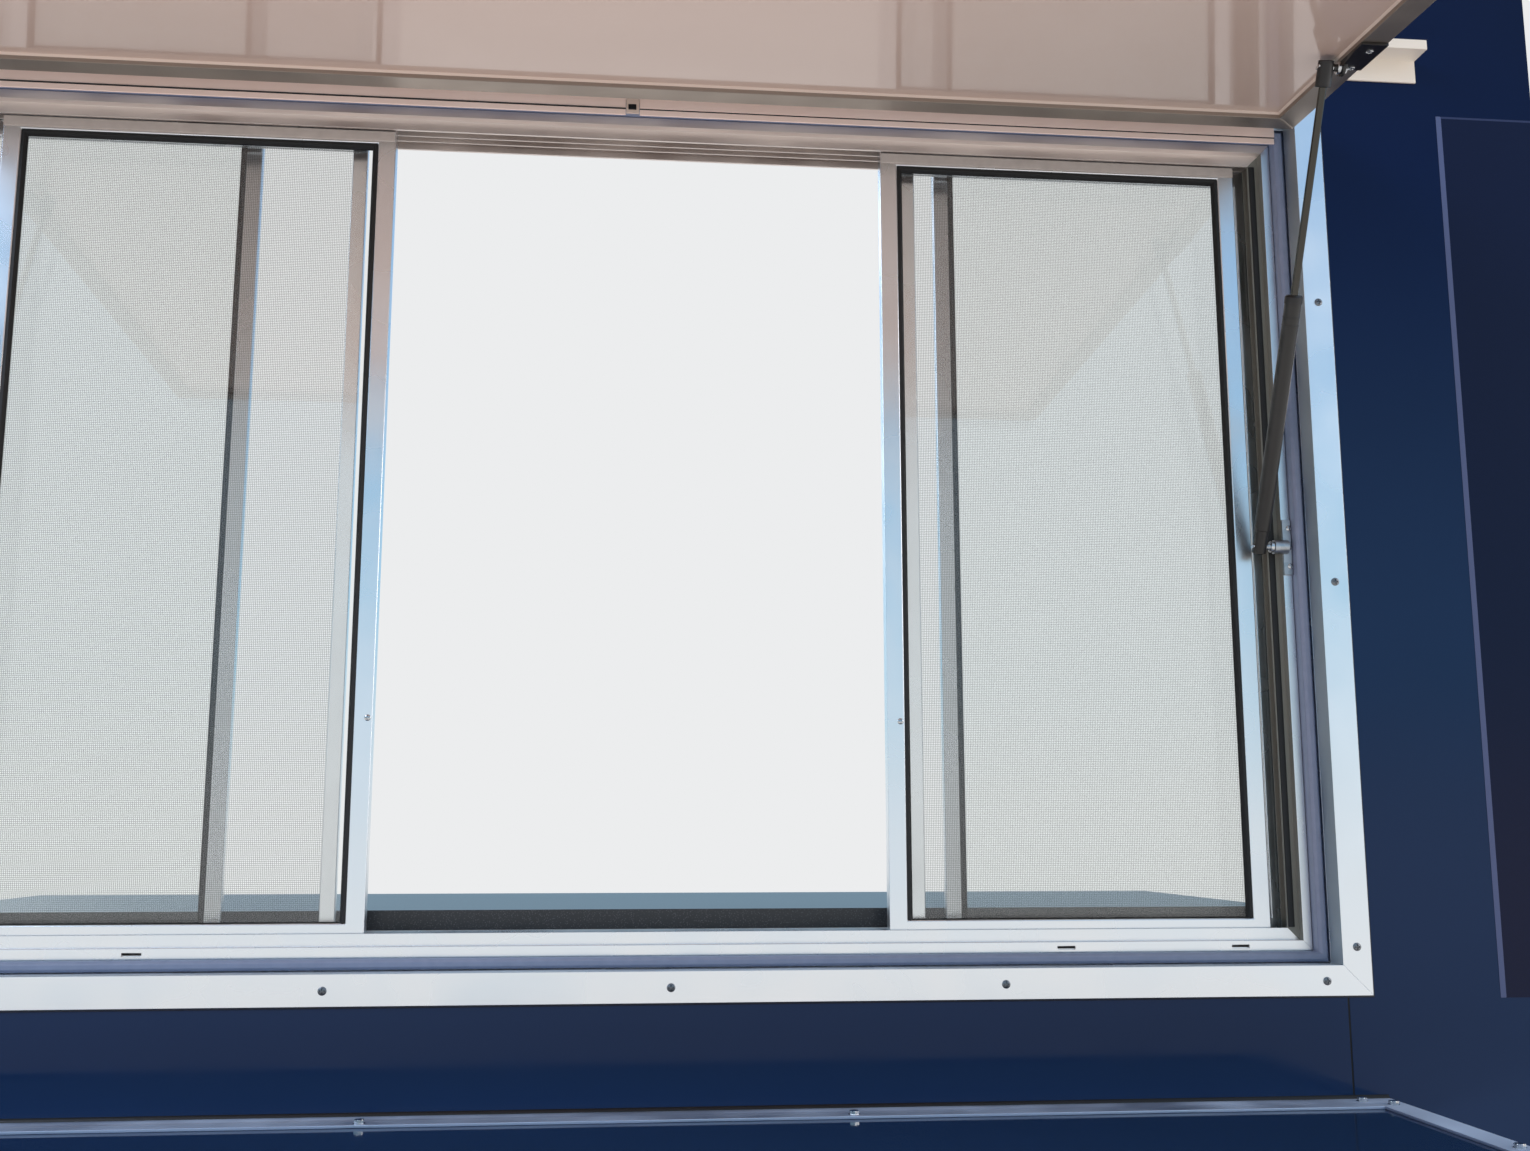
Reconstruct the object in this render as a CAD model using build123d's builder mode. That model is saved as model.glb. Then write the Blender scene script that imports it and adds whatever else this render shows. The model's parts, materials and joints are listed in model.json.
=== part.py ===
from math import atan2, cos, degrees, hypot, radians, sin
import os

from build123d import *

# Serving bay of a food truck's side wall, with its serving window and lift-up hatch.
# X runs along the wall, Y from the street into the truck, Z up, in millimetres.
# The origin is the middle of the floor rail's underside, in the middle of the wall's thickness.

# Wall bay
wall_width = 2160
wall_height = 2050
wall_thickness = 80
skin_thickness = 3
rail_wall = 5
rail_leg = 45
floor_flange = 60
bolt_hole_radius = 6.5
bolt_hole_x = 900
post_depth = 30
seam_gap = 2

# Trim angle round the opening, flange on the skin and leg into the opening
opening_width = 1562
opening_sill = 856
header_depth = 212
flange_width = 32
angle_wall = 3
angle_leg = 29
cutout_gap = 1

# Window unit, set back behind the trim
recess_depth = 44
window_depth = 64
head_filler = 16
fin_width = 13
strip_width = 10
upstand_width = 13
track_wall = 3
slider_gap = 3
slider_thickness = 16
screen_thickness = 8
fixed_thickness = 10
rib_thickness = 2
fixed_gap = 1
weep_length = 20
weep_height = 4
weep_sink = 6
weep_insets = (95, 291)

# Sashes
sash_width = 430
stile_width = 20
top_rail = 25
bottom_rail = 30
track_bite = 10
running_gap = 0.3
slider_left_inset = 91
slider_right_inset = 52
screen_width = 430
screen_left_inset = 57
screen_right_inset = 25
screen_stile = 17
fixed_left_width = 350
fixed_right_width = 396
fixed_stile = 18
glass_thickness = 5
glass_gap = 0.2
glass_bite = 7
mesh_thickness = 1
sash_chamfer = 1

# Seal
seal_width = 11
seal_front_gap = 29
seal_chamfer = 3

# Cover strips over the seal's head, in two lengths
head_strip_height = 16
head_strip_overlap = 10.5
head_strip_inset = 13
head_strip_left_wall = 1.6
head_strip_right_wall = 3
head_strip_seam = 16
head_strip_seam_shift = 8

# Hatch
hatch_gap = 6
hatch_thickness = 25
hatch_rail_width = 28
hatch_rail_wall = 3
hatch_skin = 2
hatch_skin_sink = 1
hatch_lining_sink = 7
hatch_open_angle = 86.8
hinge_ahead = 4
hinge_above = 4
hinge_drop = 2
knuckle_radius = 4
pin_radius = 2
pin_gap = 0.1
knuckle_count = 9
knuckle_gap = 0.6
leaf_thickness = 1.5
leaf_width = 22
leaf_tab = 6

# Gas struts
strut_inset = 51
strut_drop = 517
strut_low_depth = 41
strut_arm = 183
strut_standoff = 7
cylinder_radius = 9
cylinder_bore = 7
cylinder_wall_low = 8
cylinder_neck = 14
cylinder_length = 262
rod_radius = 4
rod_gap = 0.1
piston_radius = 6.6
piston_length = 12
socket_length = 20
socket_radius = 8
socket_tail = 7
stud_radius = 4
stud_length = 8
stud_gap = 0.3
bracket_wall = 3
bracket_length = 60
bracket_lug = 9
bracket_shift = 18
anchor_length = 64
anchor_boss = 8

# Hatch latches
latch_side_inset = 215
latch_inset = 55
latch_plate_radius = 26
latch_plate = 2
latch_boss_radius = 9
latch_boss = 14
latch_handle_length = 90
latch_handle_width = 14
latch_handle = 10

# Rain gutter over the hatch
gutter_overhang = 154
gutter_above_trim = 6
gutter_flange = 46
gutter_reach = 30
gutter_lip = 12
gutter_wall = 3
gutter_drop = 27

# Outside shelf
shelf_overhang = 44
shelf_depth = 300
shelf_thickness = 26
shelf_below_sill = 138
shelf_back_gap = 0.5
shelf_tube_wall = 3
shelf_rail_depth = 30
shelf_rail_height = 26
shelf_back_rim = 18
shelf_end_rim = 30
shelf_rim_wall = 3
shelf_hinge_drop = 4
shelf_knuckle_radius = 3.5
shelf_knuckle_count = 7
link_inset = 225
link_arm = 200
link_drop = 12
link_foot_drop = 200
link_width = 12
link_thickness = 5
channel_width = 20
channel_depth = 14
channel_wall = 2.5
channel_play = 18
channel_over = 80
foot_gap = 0.5
lug_thickness = 4
lug_foot = 20
lug_tip = 7
lug_gap = 0.5
link_pin_radius = 2.5

# Inside counter
counter_above_sill = 57
counter_thickness = 28
counter_depth = 450
counter_inset = 21
counter_gap = 6
casing_gap = 2
counter_bracket_inset = 140
counter_bracket_wall = 5
counter_bracket_height = 260
counter_bracket_length = 360
counter_bracket_toe = 25
counter_bracket_heel = 30

# Places worked out from the sizes
y_outer = -wall_thickness / 2
y_inner = wall_thickness / 2
y_trim = y_outer - angle_wall
y_window = y_trim + recess_depth
y_window_back = y_window + window_depth
x_clear = opening_width / 2
z_clear_low = opening_sill
z_clear_high = wall_height - header_depth
opening_height = z_clear_high - z_clear_low
x_cut = x_clear + angle_wall + cutout_gap
z_cut_low = z_clear_low - angle_wall - cutout_gap
z_cut_high = z_clear_high + angle_wall + cutout_gap
z_window_high = z_clear_high - head_filler
y_upstand = y_window + 10
y_slider = y_upstand + track_wall + slider_gap
y_rib_one = y_slider + slider_thickness + rib_thickness
y_screen = y_rib_one + 2 * rib_thickness
y_rib_two = y_screen + screen_thickness + rib_thickness
y_fixed = y_rib_two + rib_thickness + fixed_gap
u_upstand = fin_width + strip_width
u_daylight = u_upstand + upstand_width
u_base = fin_width + track_wall
z_track_low = z_clear_low + u_base
z_track_high = z_window_high - u_base
hinge_y = y_trim - hinge_ahead
hinge_z = z_clear_high - hinge_drop
hatch_half = x_clear - hatch_gap
hatch_length = hinge_z - hinge_above - z_clear_low - hatch_gap
strut_x = x_clear - strut_inset
strut_low_z = hinge_z - strut_drop
latch_x = hatch_half - latch_side_inset
shelf_length = opening_width + 2 * shelf_overhang
shelf_top = opening_sill - shelf_below_sill
link_x = shelf_length / 2 - link_inset
counter_top = opening_sill + counter_above_sill
counter_width = opening_width - 2 * counter_inset


def front(y):
    """A sketch plane that faces the street at depth y: sketch x is X and sketch y is Z."""
    return Plane.XZ.offset(-y)


def side(x):
    """A sketch plane across the wall at X = x: sketch x is Y and sketch y is Z."""
    return Plane.YZ.offset(x)


def export(part, name):
    """Label a finished piece and write it under its own name."""
    part.label = name
    export_step(part, f"parts/{name}.step")


def mitred_bar(which, half, low, high, near, far):
    """Four corners of one side of a rectangular frame, between two insets, cut at 45 degrees."""
    corners = {
        "left": [(-half + near, low + near), (-half + far, low + far),
                 (-half + far, high - far), (-half + near, high - near)],
        "right": [(half - near, low + near), (half - near, high - near),
                  (half - far, high - far), (half - far, low + far)],
        "top": [(-half + near, high - near), (-half + far, high - far),
                (half - far, high - far), (half - near, high - near)],
        "bottom": [(-half + near, low + near), (half - near, low + near),
                   (half - far, low + far), (-half + far, low + far)],
    }
    return corners[which]


def frame_side(which, half, low, high, bands):
    """One mitred side of a frame, built up from bands of (near inset, far inset, front y, back y)."""
    with BuildPart() as member:
        for near, far, y_front, y_back in bands:
            with BuildSketch(front(y_front)):
                Polygon(*mitred_bar(which, half, low, high, near, far), align=None)
            extrude(amount=-(y_back - y_front))
    return member.part


def slab(x_low, x_high, z_low, z_high, y_front, y_back):
    """A flat panel between two depths."""
    with BuildPart() as panel:
        with BuildSketch(front(y_front)):
            with Locations(((x_low + x_high) / 2, (z_low + z_high) / 2)):
                Rectangle(x_high - x_low, z_high - z_low)
        extrude(amount=-(y_back - y_front))
    return panel.part


def make_wall():
    """Outer skins with seams at the window posts, core, lining, rails and end posts."""
    half = wall_width / 2
    z_low = rail_wall
    z_high = wall_height - rail_wall
    y_core = y_outer + skin_thickness
    y_lining = y_inner - skin_thickness
    export(slab(-half, -x_cut - seam_gap, z_low, z_high, y_outer, y_core), "outer_skin_left")
    export(slab(x_cut + seam_gap, half, z_low, z_high, y_outer, y_core), "outer_skin_right")
    export(slab(-x_cut, x_cut, z_low, z_cut_low, y_outer, y_core), "outer_skin_below")
    export(slab(-x_cut, x_cut, z_cut_high, z_high, y_outer, y_core), "outer_skin_above")

    # The core and the lining go all round the opening in one piece.
    for name, y_front, y_back, inset in (
        ("wall_core", y_core, y_lining, post_depth),
        ("inner_lining", y_lining, y_inner, 0),
    ):
        with BuildPart() as layer:
            with BuildSketch(front(y_front)):
                with Locations((0, (z_low + z_high) / 2)):
                    Rectangle(wall_width - 2 * inset, z_high - z_low)
                with Locations((0, (z_cut_low + z_cut_high) / 2)):
                    Rectangle(2 * x_cut, z_cut_high - z_cut_low, mode=Mode.SUBTRACT)
            extrude(amount=-(y_back - y_front))
        export(layer.part, name)

    # End posts: channels that close the core at both ends of the bay.
    with BuildPart() as posts:
        for end in (-1, 1):
            with BuildSketch(Plane.XY.offset(z_low)):
                with Locations((end * (half - post_depth / 2), 0)):
                    Rectangle(post_depth, y_lining - y_core)
                with Locations((end * (half - post_depth / 2 + skin_thickness), 0)):
                    Rectangle(post_depth, y_lining - y_core - 2 * skin_thickness, mode=Mode.SUBTRACT)
            extrude(amount=z_high - z_low)
    export(posts.part, "end_posts")

    # Floor and roof rails: a channel over the wall's edge with a bolting flange into the truck.
    y_face = y_outer - skin_thickness
    y_leg = y_inner + skin_thickness
    for name, z_edge, up in (("floor_rail", 0, 1), ("roof_rail", wall_height, -1)):
        profile = [
            (y_face, z_edge), (y_leg + floor_flange, z_edge),
            (y_leg + floor_flange, z_edge + up * rail_wall), (y_leg, z_edge + up * rail_wall),
            (y_leg, z_edge + up * rail_leg), (y_inner, z_edge + up * rail_leg),
            (y_inner, z_edge + up * rail_wall), (y_outer, z_edge + up * rail_wall),
            (y_outer, z_edge + up * rail_leg), (y_face, z_edge + up * rail_leg),
        ]
        with BuildPart() as rail:
            with BuildSketch(side(-half)):
                Polygon(*profile, align=None)
            extrude(amount=wall_width)
            with BuildSketch(Plane.XY.offset(min(z_edge, z_edge + up * rail_wall))):
                with Locations(*[(x, y_leg + floor_flange / 2) for x in (-bolt_hole_x, bolt_hole_x)]):
                    Circle(bolt_hole_radius)
            extrude(amount=rail_wall, mode=Mode.SUBTRACT)
        export(rail.part, name)


def make_trim():
    """Bright angle round the opening, the liner behind it, the inside casing and the hatch seal."""
    angle_bands = [
        (-flange_width, 0, y_trim, y_outer),
        (-angle_wall, 0, y_outer, y_trim + angle_leg),
    ]
    for which in ("top", "bottom", "left", "right"):
        bar = frame_side(which, x_clear, z_clear_low, z_clear_high, angle_bands)
        export(bar, f"trim_{which}")

    y_liner = y_trim + angle_leg
    with BuildPart() as liner:
        with BuildSketch(front(y_liner)):
            with Locations((0, (z_clear_low + z_clear_high) / 2)):
                Rectangle(opening_width + 2 * angle_wall, opening_height + 2 * angle_wall)
            with Locations((0, (z_clear_low + z_window_high) / 2)):
                Rectangle(opening_width, z_window_high - z_clear_low, mode=Mode.SUBTRACT)
        extrude(amount=-(y_window_back - y_liner))
    export(liner.part, "opening_liner")

    with BuildPart() as casing:
        half, low, high = x_cut, z_cut_low, z_cut_high
        for outset, y_front, y_back in (
            (flange_width, y_inner, y_inner + angle_wall),
            (angle_wall, y_inner + angle_wall, y_window_back),
        ):
            with BuildSketch(front(y_front)):
                with Locations((0, (low + high) / 2)):
                    Rectangle(2 * (half + outset), high - low + 2 * outset)
                    Rectangle(2 * half, high - low, mode=Mode.SUBTRACT)
            extrude(amount=-(y_back - y_front))
    export(casing.part, "inner_casing")

    # A hollow bulb on a flat foot, against the fin of the window unit.
    y_front = y_trim + seal_front_gap
    y_foot = y_window + track_wall
    inset = (fin_width - seal_width) / 2
    with BuildPart() as seal:
        with BuildSketch(front(y_front)):
            with Locations((0, (z_clear_low + z_window_high) / 2)):
                Rectangle(opening_width - 2 * inset, z_window_high - z_clear_low - 2 * inset)
                Rectangle(opening_width - 2 * (inset + seal_width),
                          z_window_high - z_clear_low - 2 * (inset + seal_width), mode=Mode.SUBTRACT)
        extrude(amount=-(y_foot - y_front))
        chamfer(seal.faces().sort_by(Axis.Y)[0].edges(), seal_chamfer)
    export(seal.part, "hatch_seal")

    strip_end = x_clear - head_strip_inset
    strip_low = z_window_high - head_strip_overlap
    with BuildPart() as strips:
        for x_low, x_high, wall in (
            (-strip_end, head_strip_seam_shift - head_strip_seam / 2, head_strip_left_wall),
            (head_strip_seam_shift + head_strip_seam / 2, strip_end, head_strip_right_wall),
        ):
            add(slab(x_low, x_high, strip_low, strip_low + head_strip_height, y_front - wall, y_front))
    export(strips.part, "head_strips")


def make_window_frame():
    """Head, sill and jambs of the three-track window unit, mitred at the corners."""
    y_back = y_window_back
    bands = [
        # near inset, far inset, front y, back y
        (0, u_base, y_window + track_wall, y_window + 2 * track_wall),
        (fin_width, u_base, y_window, y_back),
        (fin_width, u_upstand, y_window, y_window + track_wall),
        (u_upstand - track_wall, u_upstand, y_window, y_upstand + track_wall),
        (u_upstand - track_wall, u_daylight, y_upstand, y_upstand + track_wall),
        (u_base, u_daylight - 4, y_rib_one, y_rib_one + rib_thickness),
        (u_base, u_daylight - 4, y_rib_two, y_rib_two + rib_thickness),
        (u_base, u_daylight, y_back - track_wall, y_back),
    ]
    for which, name in (("top", "window_head"), ("bottom", "window_sill"),
                        ("left", "window_jamb_left"), ("right", "window_jamb_right")):
        member = frame_side(which, x_clear, z_clear_low, z_window_high, bands)
        if which == "bottom":
            with BuildPart() as drained:
                add(member)
                with BuildSketch(front(y_window)):
                    with Locations(*[(end * (x_clear - inset), z_clear_low + u_upstand - weep_sink)
                                     for end in (-1, 1) for inset in weep_insets]):
                        Rectangle(weep_length, weep_height)
                extrude(amount=-track_wall, mode=Mode.SUBTRACT)
            member = drained.part
        export(member, name)


def export_sash(name, filling, box, y_front, thickness, stile, pane_thickness):
    """A sash within box (left, right, bottom, top), grooved inside for the pane that fills it."""
    x_low, x_high, z_low, z_high = box
    y_pane = y_front + (thickness - pane_thickness) / 2
    sight = (x_low + stile, x_high - stile, z_low + bottom_rail, z_high - top_rail)
    pane = (sight[0] - glass_bite, sight[1] + glass_bite, sight[2] - glass_bite, sight[3] + glass_bite)
    sight_centre = ((sight[0] + sight[1]) / 2, (sight[2] + sight[3]) / 2)
    with BuildPart() as frame:
        with BuildSketch(front(y_front)):
            with Locations(((x_low + x_high) / 2, (z_low + z_high) / 2)):
                Rectangle(x_high - x_low, z_high - z_low)
            with Locations(sight_centre):
                Rectangle(sight[1] - sight[0], sight[3] - sight[2], mode=Mode.SUBTRACT)
        extrude(amount=-thickness)
        chamfer(frame.faces().sort_by(Axis.Y)[0].edges(), sash_chamfer)
        with BuildSketch(front(y_pane - glass_gap)):
            with Locations(sight_centre):
                Rectangle(pane[1] - pane[0] + 2 * glass_gap, pane[3] - pane[2] + 2 * glass_gap)
        extrude(amount=-(pane_thickness + 2 * glass_gap), mode=Mode.SUBTRACT)
    export(frame.part, f"{name}_frame")
    export(slab(*pane, y_pane, y_pane + pane_thickness), f"{name}_{filling}")


def make_sashes():
    """Two glass sliders, two insect screens behind them and two fixed lights at the back."""
    z_run = z_track_low + running_gap
    z_top = z_track_high - track_bite
    x_jamb = x_clear - u_base
    sashes = [
        # name, filling, left edge, width, bottom, top, front y, thickness, stile, pane thickness
        ("slider_left", "glass", slider_left_inset - x_clear, sash_width, z_run, z_top,
         y_slider, slider_thickness, stile_width, glass_thickness),
        ("slider_right", "glass", x_clear - slider_right_inset - sash_width, sash_width, z_run, z_top,
         y_slider, slider_thickness, stile_width, glass_thickness),
        ("screen_left", "mesh", screen_left_inset - x_clear, screen_width, z_run, z_top,
         y_screen, screen_thickness, screen_stile, mesh_thickness),
        ("screen_right", "mesh", x_clear - screen_right_inset - screen_width, screen_width, z_run, z_top,
         y_screen, screen_thickness, screen_stile, mesh_thickness),
        ("fixed_left", "glass", -x_jamb, fixed_left_width, z_track_low, z_track_high,
         y_fixed, fixed_thickness, fixed_stile, glass_thickness),
        ("fixed_right", "glass", x_jamb - fixed_right_width, fixed_right_width, z_track_low, z_track_high,
         y_fixed, fixed_thickness, fixed_stile, glass_thickness),
    ]
    for name, filling, x_low, width, z_low, z_high, y_front, thickness, stile, pane_thickness in sashes:
        export_sash(name, filling, (x_low, x_low + width, z_low, z_high), y_front, thickness, stile,
                    pane_thickness)


def hatch_plane(angle):
    """The hatch's own plane at an opening angle: origin on the hinge line, sketch y up the hatch to the
    hinge, and its normal out of the painted face."""
    a = radians(angle)
    return Plane(origin=(0, hinge_y, hinge_z), x_dir=(1, 0, 0), z_dir=(0, -cos(a), sin(a)))


def make_hatch():
    """Perimeter rails, painted outer skin, white inner skin, brackets and latches."""
    top = hinge_ahead
    bottom = hinge_ahead + hatch_thickness
    wall = hatch_rail_wall
    plane = hatch_plane(hatch_open_angle)

    # Channel rails welded at the corners: a web round the edge with a flange on each face.
    with BuildPart() as frame:
        for inset, upper, lower in (
            (wall, top, bottom),
            (hatch_rail_width, bottom - hatch_lining_sink - hatch_skin, bottom),
            (hatch_rail_width, top, top + wall),
        ):
            with BuildSketch(plane.offset(-lower)):
                with Locations((0, -hinge_above - hatch_length / 2)):
                    Rectangle(2 * hatch_half, hatch_length)
                    Rectangle(2 * (hatch_half - inset), hatch_length - 2 * inset, mode=Mode.SUBTRACT)
            extrude(amount=lower - upper)
    export(frame.part, "hatch_frame")

    inner_half = hatch_half - hatch_rail_width
    mid = -hinge_above - hatch_length / 2
    inner_length = hatch_length - 2 * hatch_rail_width
    for name, depth in (("hatch_outer_skin", top + hatch_skin_sink + hatch_skin),
                        ("hatch_inner_skin", bottom - hatch_lining_sink)):
        with BuildPart() as skin:
            with BuildSketch(plane.offset(-depth)):
                with Locations((0, mid)):
                    Rectangle(2 * inner_half, inner_length)
            extrude(amount=hatch_skin)
        export(skin.part, name)

    # Brackets for the upper ends of the struts: a foot on the rail, a leg down from it and a stud.
    leg_x = strut_x + socket_radius + stud_length
    lug = bottom + strut_standoff
    with BuildPart() as brackets:
        for end in (-1, 1):
            with BuildSketch(plane.offset(-bottom - bracket_wall)):
                with Locations((end * (leg_x + hatch_half) / 2, -strut_arm - bracket_shift)):
                    Rectangle(hatch_half - leg_x, bracket_length)
            extrude(amount=bracket_wall)
            leg_plane = Plane(origin=plane.from_local_coords(Vector(end * leg_x, 0, 0)),
                              x_dir=plane.y_dir, z_dir=(end, 0, 0))
            with BuildSketch(leg_plane):
                Polygon((-strut_arm - bracket_shift - bracket_length / 2, -end * bottom),
                        (-strut_arm - bracket_shift + bracket_length / 2, -end * bottom),
                        (-strut_arm + bracket_lug, -end * lug), (-strut_arm - bracket_lug, -end * lug),
                        align=None)
                with Locations((-strut_arm, -end * lug)):
                    Circle(bracket_lug)
                with Locations((-strut_arm, -end * (bottom - bracket_lug / 2))):
                    Rectangle(3 * bracket_lug, bracket_lug, mode=Mode.SUBTRACT)
            extrude(amount=bracket_wall)
            with BuildSketch(leg_plane):
                with Locations((-strut_arm, -end * lug)):
                    Circle(stud_radius)
            extrude(amount=-(stud_length - stud_gap))
    export(brackets.part, "hatch_strut_brackets")

    # Latches near the outer edge: a round plate, a folding T-handle and a cam behind the rail.
    with BuildPart() as latches:
        for end in (-1, 1):
            centre = (end * latch_x, -hinge_above - hatch_length + latch_inset)
            with BuildSketch(plane.offset(-top)):
                with Locations(centre):
                    Circle(latch_plate_radius)
            extrude(amount=latch_plate)
            with BuildSketch(plane.offset(-top + latch_plate)):
                with Locations(centre):
                    Circle(latch_boss_radius)
            extrude(amount=latch_boss)
            with BuildSketch(plane.offset(-top + latch_boss - latch_plate)):
                with Locations(centre):
                    Rectangle(latch_handle_length, latch_handle_width)
            extrude(amount=latch_handle)
    export(latches.part, "hatch_latches")


def strut_ends(angle):
    """Y and Z of the lower pin and of the upper pin at a hatch angle."""
    low = (y_trim + strut_low_depth, strut_low_z)
    point = hatch_plane(angle).from_local_coords(
        Vector(0, -strut_arm, -(hinge_ahead + hatch_thickness + strut_standoff)))
    return low, (point.Y, point.Z)


def make_struts():
    """Gas struts: cylinder with its lower socket, rod, upper eye, and lower brackets."""
    low, high = strut_ends(hatch_open_angle)
    length = hypot(high[0] - low[0], high[1] - low[1])
    direction = (0, (high[0] - low[0]) / length, (high[1] - low[1]) / length)
    for end, label in ((-1, "left"), (1, "right")):
        base = Plane(origin=(end * strut_x, *low), x_dir=(1, 0, 0), z_dir=direction)
        # Lower socket round its stud, then the cylinder with its bore and its neck.
        with BuildPart() as cylinder:
            with BuildSketch(base.offset(socket_length)):
                Circle(cylinder_radius)
            extrude(amount=cylinder_length)
            with BuildSketch(base.offset(socket_length + cylinder_wall_low)):
                Circle(cylinder_bore)
            extrude(amount=cylinder_length - cylinder_wall_low - cylinder_neck, mode=Mode.SUBTRACT)
            with BuildSketch(base.offset(socket_length + cylinder_length - cylinder_neck)):
                Circle(rod_radius + rod_gap)
            extrude(amount=cylinder_neck, mode=Mode.SUBTRACT)
            with BuildSketch(base.offset(-socket_tail)):
                Circle(socket_radius)
            extrude(amount=socket_length + socket_tail)
        export(cylinder.part, f"strut_{label}_cylinder")

        rod_start = socket_length + cylinder_length - cylinder_neck - piston_length
        with BuildPart() as rod:
            with BuildSketch(base.offset(rod_start)):
                Circle(rod_radius)
            extrude(amount=length - socket_length - rod_start)
            with BuildSketch(base.offset(rod_start)):
                Circle(piston_radius)
            extrude(amount=piston_length)
        export(rod.part, f"strut_{label}_rod")

        with BuildPart() as eye:
            with BuildSketch(base.offset(length - socket_length)):
                Circle(socket_radius)
            extrude(amount=socket_length + socket_tail)
        export(eye.part, f"strut_{label}_eye")

    # Lower brackets: a plate on the jamb's face strip, a boss beside it and a stud.
    x_strip = x_clear - fin_width
    x_boss = strut_x + socket_radius + stud_length
    with BuildPart() as anchors:
        for end in (-1, 1):
            with BuildSketch(front(y_window - bracket_wall)):
                with Locations((end * (x_strip - strip_width / 2), strut_low_z)):
                    Rectangle(strip_width, anchor_length)
            extrude(amount=-bracket_wall)
            with BuildSketch(side(end * x_boss)):
                with Locations((low[0], low[1])):
                    Circle(anchor_boss)
            extrude(amount=end * (x_strip - strip_width / 2 - x_boss))
            with BuildSketch(front(y_window)):
                with Locations((end * x_strip, strut_low_z)):
                    Rectangle(4 * strip_width, anchor_length)
            extrude(amount=-bracket_lug, mode=Mode.SUBTRACT)
            with BuildSketch(side(end * x_boss)):
                with Locations((low[0], low[1])):
                    Circle(stud_radius)
            extrude(amount=-end * (stud_length - stud_gap))
    export(anchors.part, "strut_anchors")


def make_hinge():
    """Continuous hinge over the hatch: two leaves whose knuckles alternate along one pin."""
    plane = hatch_plane(hatch_open_angle)
    pitch = 2 * hatch_half / knuckle_count
    starts = [-hatch_half + i * pitch + knuckle_gap / 2 for i in range(knuckle_count)]
    length = pitch - knuckle_gap
    for name, odd in (("hinge_frame_leaf", 0), ("hinge_hatch_leaf", 1)):
        with BuildPart() as leaf:
            # The pin is staked into the frame leaf's knuckles and runs free in the hatch leaf's.
            for x in starts[odd::2]:
                with BuildSketch(side(x)):
                    with Locations((hinge_y, hinge_z)):
                        Circle(knuckle_radius)
                extrude(amount=length)
            leaf_plane = plane.offset(-hinge_ahead) if odd else front(y_trim - leaf_thickness)
            toward = -1 if odd else 1
            z_zero = 0 if odd else hinge_z
            amount = leaf_thickness if odd else -leaf_thickness
            with BuildSketch(leaf_plane):
                with Locations((0, z_zero + toward * (knuckle_radius + leaf_width / 2))):
                    Rectangle(2 * hatch_half, leaf_width)
                with Locations(*[(x + length / 2, z_zero + toward * knuckle_radius)
                                 for x in starts[odd::2]]):
                    Rectangle(length, leaf_tab)
            extrude(amount=amount)
            with BuildSketch(side(-hatch_half)):
                with Locations((hinge_y, hinge_z)):
                    Circle(pin_radius + pin_gap if odd else pin_radius)
            extrude(amount=2 * hatch_half, mode=Mode.SUBTRACT if odd else Mode.ADD)
        export(leaf.part, name)


def make_gutter():
    """Rain gutter over the hatch: a flange on the skin and a trough with an upturned lip."""
    z_low = z_clear_high + flange_width + gutter_above_trim
    y_face = y_outer - gutter_wall
    gutter_length = opening_width + 2 * gutter_overhang
    with BuildPart() as gutter:
        with BuildSketch(side(-gutter_length / 2)):
            Polygon(
                (y_outer, z_low), (y_face, z_low), (y_face, z_low + gutter_drop),
                (y_face - gutter_reach, z_low + gutter_drop),
                (y_face - gutter_reach, z_low + gutter_drop + gutter_lip),
                (y_face - gutter_reach + gutter_wall, z_low + gutter_drop + gutter_lip),
                (y_face - gutter_reach + gutter_wall, z_low + gutter_drop + gutter_wall),
                (y_face, z_low + gutter_drop + gutter_wall), (y_face, z_low + gutter_flange),
                (y_outer, z_low + gutter_flange), align=None)
        extrude(amount=gutter_length)
        fillet(gutter.edges().filter_by(Axis.X).group_by(Axis.Y)[0], 1)
    export(gutter.part, "rain_gutter")


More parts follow.
